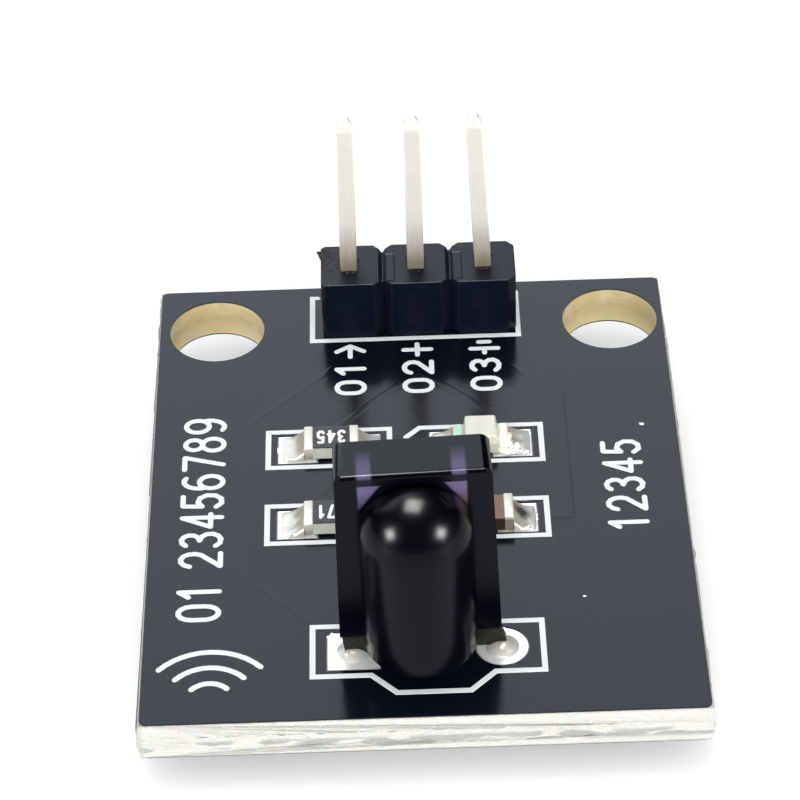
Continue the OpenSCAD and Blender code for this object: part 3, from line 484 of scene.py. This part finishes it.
def make_header_plastic(colours):
    """Black plastic with a sunk strip right of each joint and brown specks at its torn end."""
    f = Finish("black_header_plastic")
    grain = f.noise(0.035, 2.0, 0.6)
    cloud = f.noise(1.2, 3.0)
    scuff = f.noise(0.3, 4.0, 0.7, f.stretched((0.3, 1.0, 1.0)))
    strip = None
    for joint in HEADER_JOINTS:
        across = (f.x - (joint + 0.29)).size()
        along = (f.y - (HEADER_Y - 0.2)).size()
        made = (1 - across.step(0.14, 0.18)) * (1 - along.step(0.78, 0.84))
        strip = made if strip is None else strip.bigger(made)
    top = f.z.step(HEADER_HIGH.z - 0.05, HEADER_HIGH.z - 0.03)
    ragged = f.noise(0.3, 3.0, 0.65)
    at_left = 1 - (f.x - HEADER_LOW.x).step(0.15, 0.75)
    at_back = (f.y - HEADER_HIGH.y + 2.0).step(0.2, 0.6)
    high_up = f.z.step(HEADER_HIGH.z - 0.5, HEADER_HIGH.z - 0.2)
    brown = (at_left * at_back * high_up * ragged.step(0.48, 0.54)).clamped()
    scuffed = [c * 3 + 0.004 for c in colours.header]
    base = f.mix(scuff.step(0.5, 0.8) * 0.35, colours.header, scuffed)
    base = f.mix(brown, base, colours.header_torn)
    return f.surface(
        base_color=base, roughness=0.3 + 0.12 * cloud + 0.4 * brown, ior=1.21,
        normal=f.bump(0.12 * grain + 0.1 * cloud - 0.9 * strip * top - 1.0 * brown, 0.04))


def make_dark_epoxy(colours):
    """Dark violet epoxy: the two stamped strips show as faint stripes near its top."""
    f = Finish("dark_epoxy")
    local = f.node("ShaderNodeMapping", {"vector_type": "TEXTURE"}, {
        "Vector": f.place, "Location": RECEIVER_PLACE.to_translation(),
        "Rotation": RECEIVER_PLACE.to_euler("XYZ")})
    split = f.node("ShaderNodeSeparateXYZ", inputs={0: local.outputs[0]})
    x, y, z = (Value(f, split.outputs[i]) for i in range(3))
    out = (x + 0.05).size()
    strip = out.step(STRIP_IN - 0.05, STRIP_IN + 0.05)
    strip = strip * (1 - out.step(STRIP_OUT - 0.05, STRIP_OUT + 0.05))
    on_top = z.step(MOULDING_TOP - 0.155, MOULDING_TOP - 0.055)
    ledge_z = MOULDING_TOP - LEDGE_H
    under = 1 - z.step(ledge_z - 0.005, ledge_z + 0.015)
    on_ledge = (1 - under) * (1 - on_top)
    sloped = (out - (6.46 - 0.70 * z)).step(0.0, 0.12)
    wedge = sloped * (1 - out.step(STRIP_OUT - 0.03, STRIP_OUT + 0.05)) * z.step(6.4, 7.5)
    front = 1 - y.step(PLATE_FRONT, PLATE_FRONT + 0.04)
    grain = f.noise(0.1, 2.0)
    stripe = (strip * on_top * (1 - y.step(0.05, 0.85)) * 0.55 + strip * on_ledge * 0.04
              + wedge * under * front * 0.62) * (0.8 + 0.4 * grain)
    low_right = x.step(0.5, 1.0) * (1 - z.step(6.8, 7.3))
    warm = f.mix(low_right, colours.epoxy_stripe, colours.epoxy_stripe_warm)
    cloud = f.noise(0.9, 2.0)
    return f.surface(
        base_color=f.mix(stripe, colours.epoxy, warm), roughness=0.2 + 0.06 * cloud, ior=1.2,
        normal=f.bump(cloud + 0.05 * grain, 0.003))


def make_ceramic(name, colour, rough=0.5, spot=0.1, shade=None):
    """A fired ceramic; shade gives two heights between which it turns dark lower down."""
    f = Finish(name)
    grain = f.noise(0.03, 2.0, 0.6)
    cloud = f.noise(spot * 3, 3.0)
    base = f.mix(cloud.step(0.3, 0.75), [c * 0.86 for c in colour], colour)
    if shade:
        base = f.mix(1 - f.z.step(*shade), base, [c * 0.12 for c in colour])
    return f.surface(base_color=base, roughness=rough + 0.15 * grain, normal=f.bump(grain, 0.006))


def make_glaze(colours):
    """Black glass over a resistor."""
    f = Finish("black_resistor_glaze")
    cloud = f.noise(0.35, 2.0)
    base = f.mix(cloud, colours.glaze, [c * 1.8 for c in colours.glaze])
    return f.surface(base_color=base, roughness=0.22 + 0.12 * cloud, normal=f.bump(cloud, 0.008))


def make_clear_resin(name, colour, rough=0.12):
    """Milky resin that lets some light through."""
    f = Finish(name)
    cloud = f.noise(0.4, 2.0)
    base = f.mix(cloud, colour, [c * 0.95 for c in colour])
    return f.surface(
        base_color=base, roughness=rough + 0.1 * cloud, ior=1.5, transmission_weight=0.35,
        subsurface_weight=0.6, subsurface_radius=(0.0005, 0.0005, 0.0004),
        normal=f.bump(cloud, 0.006))


def make_floor(colours):
    """The white sheet that the photo was taken on, washed out by its light."""
    f = Finish("pale_floor")
    cloud = f.noise(30.0, 2.0)
    base = f.mix(cloud, colours.floor, [c * 0.99 for c in colours.floor])
    return f.surface(
        base_color=base, roughness=0.55 + 0.05 * cloud,
        emission_color=(1.0, 1.0, 1.0), emission_strength=0.2)


# Settings


class ReceiverSizes(bpy.types.PropertyGroup):
    """Sizes of the fine detail."""

    edge: FloatProperty(
        name="Edge rounding", description="Width of the rounded edges of small parts",
        default=0.03 * MM, unit="LENGTH")
    header_edge: FloatProperty(
        name="Header edge rounding", description="Width of the rounded edges of the header plastic",
        default=0.05 * MM, unit="LENGTH")
    tear: FloatProperty(
        name="Tear depth", description="How deep the broken web of the board is torn",
        default=0.09 * MM, unit="LENGTH")
    floor: FloatProperty(
        name="Floor size", description="Side of the square floor", default=3.0, unit="LENGTH")


def colour_property(name, default):
    return FloatVectorProperty(
        name=name, description="Colour of the " + name.lower(), subtype="COLOR", size=3,
        min=0.0, max=1.0, default=default)


class ReceiverColours(bpy.types.PropertyGroup):
    """Colours of the finishes."""

    mask: colour_property("Solder mask", (0.0024, 0.0034, 0.0075))
    print_white: colour_property("White print", (0.84, 0.87, 0.87))
    resin: colour_property("Laminate resin", (0.66, 0.64, 0.55))
    resin_shade: colour_property("Torn laminate shade", (0.60, 0.585, 0.54))
    # Painted shade on the laminate at the left edge
    resin_left_shade: colour_property("Laminate at the left edge", (0.46, 0.47, 0.4))
    resin_rim: colour_property("Rims of the torn laminate", (0.25, 0.21, 0.17))
    bundle: colour_property("Cut glass bundles", (0.36, 0.37, 0.36))
    fibre: colour_property("Torn glass fibre", (0.72, 0.71, 0.67))
    hole_wall: colour_property("Drilled wall", (0.54, 0.43, 0.21))
    # Painted light from the floor on the low part of a drilled wall
    hole_low_bounce_lit: colour_property("Low part of a drilled wall", (0.88, 0.77, 0.40))
    tin: colour_property("Tin plating", (0.80, 0.80, 0.79))
    cap: colour_property("End cap", (0.60, 0.58, 0.51))
    solder: colour_property("Solder", (0.52, 0.51, 0.48))
    # Painted shade in the hollow of the capacitor's solder
    hollow: colour_property("Dark hollow in the solder", (0.02, 0.025, 0.02))
    flux: colour_property("Flux on the solder", (0.36, 0.31, 0.22))
    pin: colour_property("Pin plating", (0.74, 0.70, 0.63))
    lead: colour_property("Lead plating", (0.034, 0.032, 0.024))
    header: colour_property("Header plastic", (0.0012, 0.0030, 0.0095))
    header_torn: colour_property("Torn header plastic", (0.045, 0.02, 0.018))
    epoxy: colour_property("Receiver epoxy", (0.0008, 0.0008, 0.0030))
    epoxy_stripe: colour_property("Strip seen in the epoxy", (0.16, 0.13, 0.26))
    epoxy_stripe_warm: colour_property("Low end of that strip", (0.30, 0.17, 0.14))
    glaze: colour_property("Resistor glaze", (0.012, 0.012, 0.014))
    ceramic: colour_property("Resistor ceramic", (0.50, 0.50, 0.44))
    brown: colour_property("Capacitor ceramic", (0.21, 0.10, 0.06))
    lamp: colour_property("Lamp resin", (0.95, 0.92, 0.82))
    lamp_end: colour_property("Lamp end cap", (0.90, 0.87, 0.75))
    lamp_base: colour_property("Lamp base", (0.70, 0.70, 0.60))
    green: colour_property("Polarity mark", (0.52, 0.86, 0.66))
    silicon: colour_property("Chip", (0.20, 0.22, 0.28))
    floor: colour_property("Floor", (0.86, 0.86, 0.86))


# Operators


class RECEIVER_OT_board(bpy.types.Operator):
    """Finish the board: torn edges, mask, copper and print"""

    bl_idname = "receiver.board"
    bl_label = "Board"

    def execute(self, context):
        sizes, colours = context.scene.receiver_sizes, context.scene.receiver_colours
        self.tear_edges(sizes, make_laminate(colours))
        mask = make_solder_mask(colours)
        wear("top_solder_mask", mask)
        wear("bottom_solder_mask", mask)
        tin = make_metal("tinned_pads", colours.tin, 0.3, 0.4, 0.004, tarnish=0.1, bare=0.3)
        for node in ("top_copper", "bottom_copper", "header_hole_plating", "receiver_hole_plating"):
            wear(node, tin)
        ink = make_white_print(colours)
        for node in ("outline_print", "number_print", "wave_print"):
            wear(node, ink)
        self.raise_tracks(mask)
        mesh = bmesh.new()
        for x, y, size in PRINT_SPECKS:
            rough_ball(mesh, (x, y, FACE_Z), (size, size * 0.8, 0.012))
        piece_from(mesh, "print_specks", ink, weighted=False)
        return {"FINISHED"}

    def tear_edges(self, sizes, finish):
        """The board's own shape, with the web between the scored grooves torn."""
        mesh = copy_of("laminate")
        depth = sizes.tear / MM

        def on_web(face):
            middle = face.calc_center_median()
            return abs(face.normal.z) < 0.05 and (
                abs(middle.x) > BOARD_HIGH.x - 0.01 or abs(middle.y) > BOARD_HIGH.y - 0.01)

        web = [face for face in mesh.faces if on_web(face)]
        edges = {edge for face in web for edge in face.edges}
        level = [e for e in edges
                 if abs(e.verts[0].co.z - e.verts[1].co.z) < 0.01 and e.calc_length() > 5]
        bmesh.ops.subdivide_edges(mesh, edges=level, cuts=190, use_grid_fill=True)
        web = [face for face in mesh.faces if on_web(face)]
        edges = {edge for face in web for edge in face.edges}
        upright = [e for e in edges if abs(e.verts[0].co.z - e.verts[1].co.z) > 0.1]
        bmesh.ops.subdivide_edges(mesh, edges=upright, cuts=5, use_grid_fill=True)
        torn = {vert for face in mesh.faces if on_web(face) for vert in face.verts}
        for vert in torn:
            place = vert.co.copy()
            rough = noise.fractal(Vector((place.x * 2.2, place.y * 2.2, place.z * 9)), 0.8, 2.2, 4)
            coarse = noise.noise(Vector((place.x * 0.7, place.y * 0.7, place.z * 2)))
            inward = max(0.0, depth * (0.45 + 0.7 * rough + 0.5 * coarse))
            if abs(place.x) > BOARD_HIGH.x - 0.01:
                vert.co.x -= math.copysign(inward, place.x)
            if abs(place.y) > BOARD_HIGH.y - 0.01:
                vert.co.y -= math.copysign(inward, place.y)
        piece_from(mesh, "torn_laminate", finish, ["laminate"], crease=50, weighted=False)

    def raise_tracks(self, finish):
        """Faint ridges of the mask over the copper tracks."""
        mesh = bmesh.new()
        for track in TRACKS:
            for start, end in zip(track, track[1:]):
                a, b = Vector((*start, 0)), Vector((*end, 0))
                run = b - a
                made = bmesh.ops.create_cone(
                    mesh, cap_ends=True, segments=16, radius1=TRACK_R, radius2=TRACK_R,
                    depth=run.length)["verts"]
                made += bmesh.ops.create_uvsphere(
                    mesh, u_segments=16, v_segments=8, radius=TRACK_R,
                    matrix=Matrix.Translation((0, 0, run.length / 2)))["verts"]
                turned = Matrix.Rotation(math.atan2(run.y, run.x), 4, "Z")
                laid = turned @ Matrix.Rotation(math.pi / 2, 4, "Y")
                bmesh.ops.transform(mesh, matrix=Matrix.Translation((a + b) / 2) @ laid, verts=made)
        flatness = 0.04
        bmesh.ops.scale(mesh, vec=(1, 1, flatness), verts=mesh.verts)
        bmesh.ops.translate(mesh, vec=(0, 0, FACE_Z - 0.002), verts=mesh.verts)
        piece_from(mesh, "masked_tracks", finish, weighted=False)


class RECEIVER_OT_header(bpy.types.Operator):
    """Finish the pin header, its burrs and its solder"""

    bl_idname = "receiver.header"
    bl_label = "Pin header"

    def execute(self, context):
        sizes, colours = context.scene.receiver_sizes, context.scene.receiver_colours
        plastic = make_header_plastic(colours)
        self.soften_insulator(sizes.header_edge / MM, plastic)
        # The pins are painted darker near the plastic: painted shade standing for the dark plastic they
        # reflect.
        metal = make_metal(
            "plated_pins", colours.pin, 0.3, 0.6, 0.004, along=(1.0, 1.0, 0.12), tarnish=0.2, bare=0.35,
            foot=(HEADER_HIGH.z + 0.2, HEADER_HIGH.z + 2.2))
        for side in ("left", "middle", "right"):
            softened("header_pin_" + side, 0.06, metal, 3, angle=12)
        wear("header_solder_joints", make_metal("header_solder", colours.solder, 0.14, 0.5, 0.02))
        self.make_burrs(plastic)
        return {"FINISHED"}

    def soften_insulator(self, width, finish):
        """Rounds the plastic everywhere but in the shallow recesses of its pins."""
        mesh = copy_of("header_insulator")
        sharp = []
        for edge in mesh.edges:
            middle = (edge.verts[0].co + edge.verts[1].co) / 2
            by_pin = any(abs(middle.x - x) < 0.5 and abs(middle.y - y) < 0.5 for x, y in HEADER_PINS)
            if not by_pin and edge.calc_face_angle(0) > math.radians(30):
                sharp.append(edge)
        bmesh.ops.bevel(mesh, geom=sharp, offset=width, offset_type="OFFSET", segments=3, profile=0.5,
                        affect="EDGES", material=-1, clamp_overlap=True)
        piece_from(mesh, "header_insulator_rounded", finish, ["header_insulator"])

    def make_burrs(self, finish):
        """The torn lip where the header was snapped off, and crumbs pushed up by the pins."""
        mesh = bmesh.new()
        x, y, z = HEADER_LOW.x, HEADER_HIGH.y, HEADER_HIGH.z
        made = box_mesh(mesh, (x - 0.2, y - 1.0, z - 0.22), (x + 0.2, y - 0.3, z + 0.01))
        for vert in made:
            if vert.co.x < x and vert.co.y < y - 0.9:
                vert.co.x = x + 0.03
            if vert.co.x < x and vert.co.z < z - 0.1:
                vert.co.x = x + 0.02
        bmesh.ops.subdivide_edges(mesh, edges=mesh.edges, cuts=7, use_grid_fill=True)
        for vert in mesh.verts:
            lump = uneven(vert.co * 3.0) * 0.05 + uneven(vert.co * 9.0) * 0.02
            if vert.co.x < x:
                vert.co += Vector((lump.x, lump.y, min(lump.z, 0.0)))
        for (pin_x, pin_y), side in zip(HEADER_PINS, (0.06, 0.0, 0.04)):
            for shift, size in ((-0.12, 0.13), (0.1, 0.1)):
                rough_ball(mesh, (pin_x + side + shift, pin_y - 0.44, z - 0.01), (size, 0.07, 0.035))
        piece_from(mesh, "header_burrs", finish)


class RECEIVER_OT_receiver(bpy.types.Operator):
    """Model the receiver's moulding, and finish its leads, chips and solder"""

    bl_idname = "receiver.receiver"
    bl_label = "Receiver"

    def execute(self, context):
        colours = context.scene.receiver_colours
        self.make_moulding(make_dark_epoxy(colours))
        metal = make_metal("lead_sheet", colours.lead, 0.24, 0.5, 0.006, along=(1.0, 1.0, 0.3), bare=0.7)
        for name in ("output", "ground", "supply"):
            wear("receiver_%s_lead" % name, metal)
        chip = make_metal("chip_silicon", colours.silicon, 0.2, 0.5, 0.002, tarnish=0.1)
        wear("receiver_photo_chip", chip)
        wear("receiver_amplifier_chip", chip)
        solder = make_solder(colours)
        wear("receiver_solder_joints", solder)
        mesh = bmesh.new()
        for x, y in RECEIVER_PADS:
            spun(mesh, [(r, FACE_Z + z) for r, z in CONE_PROFILE], (x, y))
        piece_from(mesh, "receiver_solder_fillets", solder, crease=60, weighted=False)
        return {"FINISHED"}

    def make_moulding(self, finish):
        """The plate, its ledge and the ball on its column, joined as one skin."""
        joined = self.join([self.make_plate(), self.make_ledge(), self.make_lens()])
        mesh = bmesh.new()
        mesh.from_mesh(joined)
        bmesh.ops.remove_doubles(mesh, verts=mesh.verts, dist=0.002)
        soften(mesh, 0.045, 3, 28)
        bmesh.ops.transform(mesh, matrix=RECEIVER_PLACE, verts=mesh.verts)
        bmesh.ops.recalc_face_normals(mesh, faces=mesh.faces)
        piece_from(mesh, "receiver_moulding", finish, ["receiver_body"], crease=35)

    def make_plate(self):
        """The flat back, narrower and thinner at its top, with round upper corners."""
        plate = bmesh.new()
        made = box_mesh(
            plate, (-PLATE_HALF_W, PLATE_FRONT, MOULDING_LOW), (PLATE_HALF_W, PLATE_BACK, MOULDING_TOP))
        for vert in made:
            if vert.co.z > LENS_Z - 0.9:
                vert.co.x *= PLATE_TOP_HALF_W / PLATE_HALF_W
                vert.co.y = min(vert.co.y, PLATE_TOP_BACK)
        upper = [e for e in plate.edges
                 if all(abs(v.co.z - MOULDING_TOP) < 0.01 for v in e.verts)
                 and abs(e.verts[0].co.x - e.verts[1].co.x) < 0.01]
        bmesh.ops.bevel(plate, geom=upper, offset=0.34, offset_type="OFFSET", segments=6, profile=0.5,
                        affect="EDGES", material=-1)
        return plate

    def make_ledge(self):
        """The bar along the top of the plate's front."""
        ledge = bmesh.new()
        low_z = MOULDING_TOP - LEDGE_H
        box_mesh(ledge, (-LEDGE_HALF_W, LEDGE_FRONT, low_z), (LEDGE_HALF_W, 0.4, MOULDING_TOP))
        lip = [e for e in ledge.edges if all(v.co.z > MOULDING_TOP - 0.1 for v in e.verts)
               and not all(v.co.y > 0 for v in e.verts)]
        bmesh.ops.bevel(ledge, geom=lip, offset=0.17, offset_type="OFFSET", segments=8, profile=0.5,
                        affect="EDGES", material=-1)
        return ledge

    def make_lens(self):
        """The ball on its column, cut off flat inside the plate."""
        ball = bmesh.new()
        steps, rings = 20, 6
        foot = MOULDING_LOW + 0.1
        column = [(0.0, foot)] + [(LENS_R, foot + (LENS_Z - foot) * k / rings) for k in range(rings)]
        dome = [(LENS_R * math.cos(a), LENS_Z + LENS_R * math.sin(a))
                for a in (math.pi / 2 * k / steps for k in range(steps))] + [(0.0, LENS_Z + LENS_R)]
        spun(ball, column + dome, (0.0, LENS_Y), steps=72)
        bmesh.ops.bisect_plane(
            ball, geom=ball.verts[:] + ball.edges[:] + ball.faces[:], dist=0.0001,
            plane_co=(0, 0.35, 0), plane_no=(0, 1, 0), clear_outer=True)
        bmesh.ops.holes_fill(ball, edges=[e for e in ball.edges if e.is_boundary], sides=0)
        bmesh.ops.recalc_face_normals(ball, faces=ball.faces)
        return ball

    def join(self, parts):
        """One mesh of several that overlap."""
        objects = []
        for i, part in enumerate(parts):
            data = bpy.data.meshes.new("moulding_%d" % i)
            part.to_mesh(data)
            part.free()
            objects.append(bpy.data.objects.new("moulding_%d" % i, data))
            bpy.context.scene.collection.objects.link(objects[-1])
        for other in objects[1:]:
            modifier = objects[0].modifiers.new("join", "BOOLEAN")
            modifier.operation = "UNION"
            modifier.solver = "EXACT"
            modifier.object = other
        bpy.context.view_layer.update()
        joined = bpy.data.meshes.new_from_object(
            objects[0].evaluated_get(bpy.context.evaluated_depsgraph_get()))
        for made in objects:
            bpy.data.objects.remove(made)
        return joined


class RECEIVER_OT_small_parts(bpy.types.Operator):
    """Finish the resistors, the capacitor and the indicator lamp"""

    bl_idname = "receiver.small_parts"
    bl_label = "Surface parts"

    def execute(self, context):
        sizes, colours = context.scene.receiver_sizes, context.scene.receiver_colours
        # Painted shade on the end caps: the resistors' caps darken below 3.33 mm, the capacitor's nearly up
        # to their top.
        tin, shaded_cap_tin = (
            make_metal(name, colours.cap, 0.42, 0.3, 0.012, tarnish=0.35, bare=0.15, foot=foot)
            for name, foot in (("end_cap_tin", (2.85, 3.33)), ("shaded_end_tin", (3.34, 3.42))))
        pale_tin = make_metal("lamp_end_tin", colours.lamp_end, 0.45, 0.5, 0.004, tarnish=0.1, bare=0.05)
        white = make_ceramic("white_ceramic", colours.ceramic)
        glaze = make_glaze(colours)
        for part in ("lamp_resistor", "supply_resistor"):
            wear(part + "_ceramic", white)
            wear(part + "_glaze", glaze)
            wear(part + "_digits", bpy.data.materials["white_print"])
        # Painted shade: the capacitor's ceramic turns dark below its top.
        brown = make_ceramic("brown_ceramic", colours.brown, 0.35, 0.3, (3.36, 3.44))
        softened("capacitor_ceramic", sizes.edge / MM, brown)
        softened("lamp_clear_cap", 0.12, make_clear_resin("lamp_resin", colours.lamp), 3)
        bead = bmesh.new()
        rough_ball(bead, LAMP_BEAD, (0.36, 0.42, 0.27))
        piece_from(bead, "lamp_end_bead", pale_tin, weighted=False)
        base_resin = make_clear_resin("lamp_base_resin", colours.lamp_base, 0.25)
        softened("lamp_base", 0.02, base_resin)
        bright = make_metal("bright_solder", colours.tin, 0.15, 0.3, 0.01, tarnish=0.05, bare=0.3)
        for name in SMALL_PARTS:
            self.make_caps(name, {"lamp": pale_tin, "capacitor": shaded_cap_tin}.get(name, tin))
            self.make_fillets(name, bpy.data.materials["frosty_solder"])
            self.make_beads(name, bright)
        wear("lamp_chip_die", make_metal("lamp_chip", colours.silicon, 0.3, 0.2, 0.002))
        wear("lamp_polarity_mark", make_ceramic("green_mark", colours.green, 0.5, 0.1))
        return {"FINISHED"}

    def make_caps(self, name, finish):
        """Whole, rounded and slightly uneven end caps in place of the thin ones."""
        low, high = corners_of(name + "_end_caps")
        cap_l = 0.34
        mesh = bmesh.new()
        for start, end in ((low.x, low.x + cap_l), (high.x - cap_l, high.x)):
            box_mesh(mesh, (start, low.y - 0.01, low.z), (end, high.y + 0.01, high.z))
        soften(mesh, 0.09 if name == "lamp" else 0.05, 3)
        for vert in mesh.verts:
            vert.co += uneven(vert.co * 2.5) * 0.012
        piece_from(mesh, name + "_whole_caps", finish, [name + "_end_caps"])

    def make_fillets(self, name, finish):
        """Solder at both ends, and the strip of it below each end cap."""
        x, y, rise = SMALL_PARTS[name]
        low = FACE_Z - 0.015
        mesh = bmesh.new()
        for side in (-1, 1):
            fillet(mesh, (x, y), side, 0.82, 0.7, rise, low)
            inner, outer = sorted((x + side * 0.6, x + side * 1.0))
            box_mesh(mesh, (inner, y - 0.6, low), (outer, y + 0.6, FACE_Z + 0.02))
        bmesh.ops.recalc_face_normals(mesh, faces=mesh.faces)
        piece_from(mesh, name + "_fillets", finish, [name + "_solder"], crease=60)

    def make_beads(self, name, finish):
        """Bright beads along the front of the solder, larger ones at the lamp's right end."""
        x, y, _ = SMALL_PARTS[name]
        mesh = bmesh.new()
        for side, out, size in ((-1, 1.14, 0.07), (-1, 1.5, 0.12), (1, 1.16, 0.08), (1, 1.45, 0.11)):
            place = (x + side * out, y - 0.6, FACE_Z + 0.22 - 0.1 * out)
            rough_ball(mesh, place, (size * 1.3, size * 0.7, size * 0.6))
        if name == "lamp":
            rough_ball(mesh, (x + 1.3, y - 0.42, FACE_Z + 0.1), (0.3, 0.26, 0.12))
            rough_ball(mesh, (x + 1.5, y - 0.56, FACE_Z + 0.05), (0.28, 0.12, 0.07))
        piece_from(mesh, name + "_solder_beads", finish, weighted=False)


class RECEIVER_OT_stage(bpy.types.Operator):
    """Set the floor, the lights and the camera"""

    bl_idname = "receiver.stage"
    bl_label = "Stage"

    def execute(self, context):
        sizes, colours = context.scene.receiver_sizes, context.scene.receiver_colours
        mesh = bmesh.new()
        bmesh.ops.create_grid(mesh, x_segments=1, y_segments=1, size=sizes.floor / 2)
        data = bpy.data.meshes.new("floor")
        mesh.to_mesh(data)
        mesh.free()
        data.materials.append(make_floor(colours))
        floor = bpy.data.objects.new("floor", data)
        context.scene.collection.objects.link(floor)

        world = bpy.data.worlds.new("studio")
        context.scene.world = world
        world.use_nodes = True
        back = world.node_tree.nodes["Background"]
        back.inputs["Color"].default_value = (0.97, 0.985, 1.0, 1.0)
        back.inputs["Strength"].default_value = 0.9
        world.cycles_visibility.glossy = False

        shine = {"visible_diffuse": False}
        self.add_light("back_wall", (-0.36, 0.62, 0.56), (1.2, 0.74), 4.0, (0.82, 0.90, 1.0), shine)
        for name, place, size, radiance in (
                ("lamp_above", (-0.03, 0.05, 0.5), 0.25, 36.0),
                ("lamp_left", (-0.393, -0.245, 0.2), 0.16, 40.0),
                ("lamp_right", (0.37, -0.25, 0.2), 0.16, 40.0)):
            self.add_light(name, place, (size, size), radiance, seen=shine, turn=45)
            self.add_light(name + "_core", place, (size / 3, size / 3), 6 * radiance, seen=shine)
        self.add_light("front_fill", (0.0, -0.6, 0.2), (1.2, 0.34), 4.2, seen={"visible_glossy": False})

        camera = bpy.data.objects.new("camera", bpy.data.cameras.new("camera"))
        context.scene.collection.objects.link(camera)
        camera.data.sensor_width = 36.0
        camera.data.lens = CAMERA_LENS
        camera.data.clip_start = 0.005
        camera.data.clip_end = 20.0
        camera.matrix_world = CAMERA_PLACE
        context.scene.camera = camera
        context.scene.view_settings.view_transform = "Standard"
        return {"FINISHED"}

    def add_light(self, name, place, size, radiance, colour=(1.0, 1.0, 1.0), seen=None, turn=0):
        """A soft rectangular light that faces the module; seen limits what it lights,
        and turn gives degrees about its own beam."""
        data = bpy.data.lights.new(name, "AREA")
        data.shape = "RECTANGLE"
        data.size, data.size_y = size
        data.energy = radiance * math.pi * size[0] * size[1]
        data.color = colour
        light = bpy.data.objects.new(name, data)
        light.location = place
        aim = Vector((0, 0, 0.005)) - Vector(place)
        own_turn = Matrix.Rotation(math.radians(turn), 4, "Z")
        light.rotation_euler = (aim.to_track_quat("-Z", "Y").to_matrix().to_4x4() @ own_turn).to_euler()
        for switch, setting in (seen or {}).items():
            setattr(light, switch, setting)
        bpy.context.scene.collection.objects.link(light)


class RECEIVER_PT_panel(bpy.types.Panel):
    """The steps that finish the module"""

    bl_idname = "RECEIVER_PT_panel"
    bl_label = "Infrared receiver module"
    bl_space_type = "VIEW_3D"
    bl_region_type = "UI"
    bl_category = "Receiver"

    def draw(self, context):
        for group in (context.scene.receiver_sizes, context.scene.receiver_colours):
            column = self.layout.column()
            for name in group.__annotations__:
                column.prop(group, name)
        for step in STEPS:
            self.layout.operator(step.bl_idname)


STEPS = (
    RECEIVER_OT_board, RECEIVER_OT_header, RECEIVER_OT_receiver, RECEIVER_OT_small_parts,
    RECEIVER_OT_stage,
)
CLASSES = (ReceiverSizes, ReceiverColours, *STEPS, RECEIVER_PT_panel)


def register():
    for made in CLASSES:
        bpy.utils.register_class(made)
    bpy.types.Scene.receiver_sizes = PointerProperty(type=ReceiverSizes)
    bpy.types.Scene.receiver_colours = PointerProperty(type=ReceiverColours)


def unregister():
    del bpy.types.Scene.receiver_colours
    del bpy.types.Scene.receiver_sizes
    for made in reversed(CLASSES):
        bpy.utils.unregister_class(made)


def main():
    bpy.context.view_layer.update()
    register()
    bpy.ops.receiver.board()
    bpy.ops.receiver.header()
    bpy.ops.receiver.receiver()
    bpy.ops.receiver.small_parts()
    bpy.ops.receiver.stage()


if __name__ == "__main__":
    main()
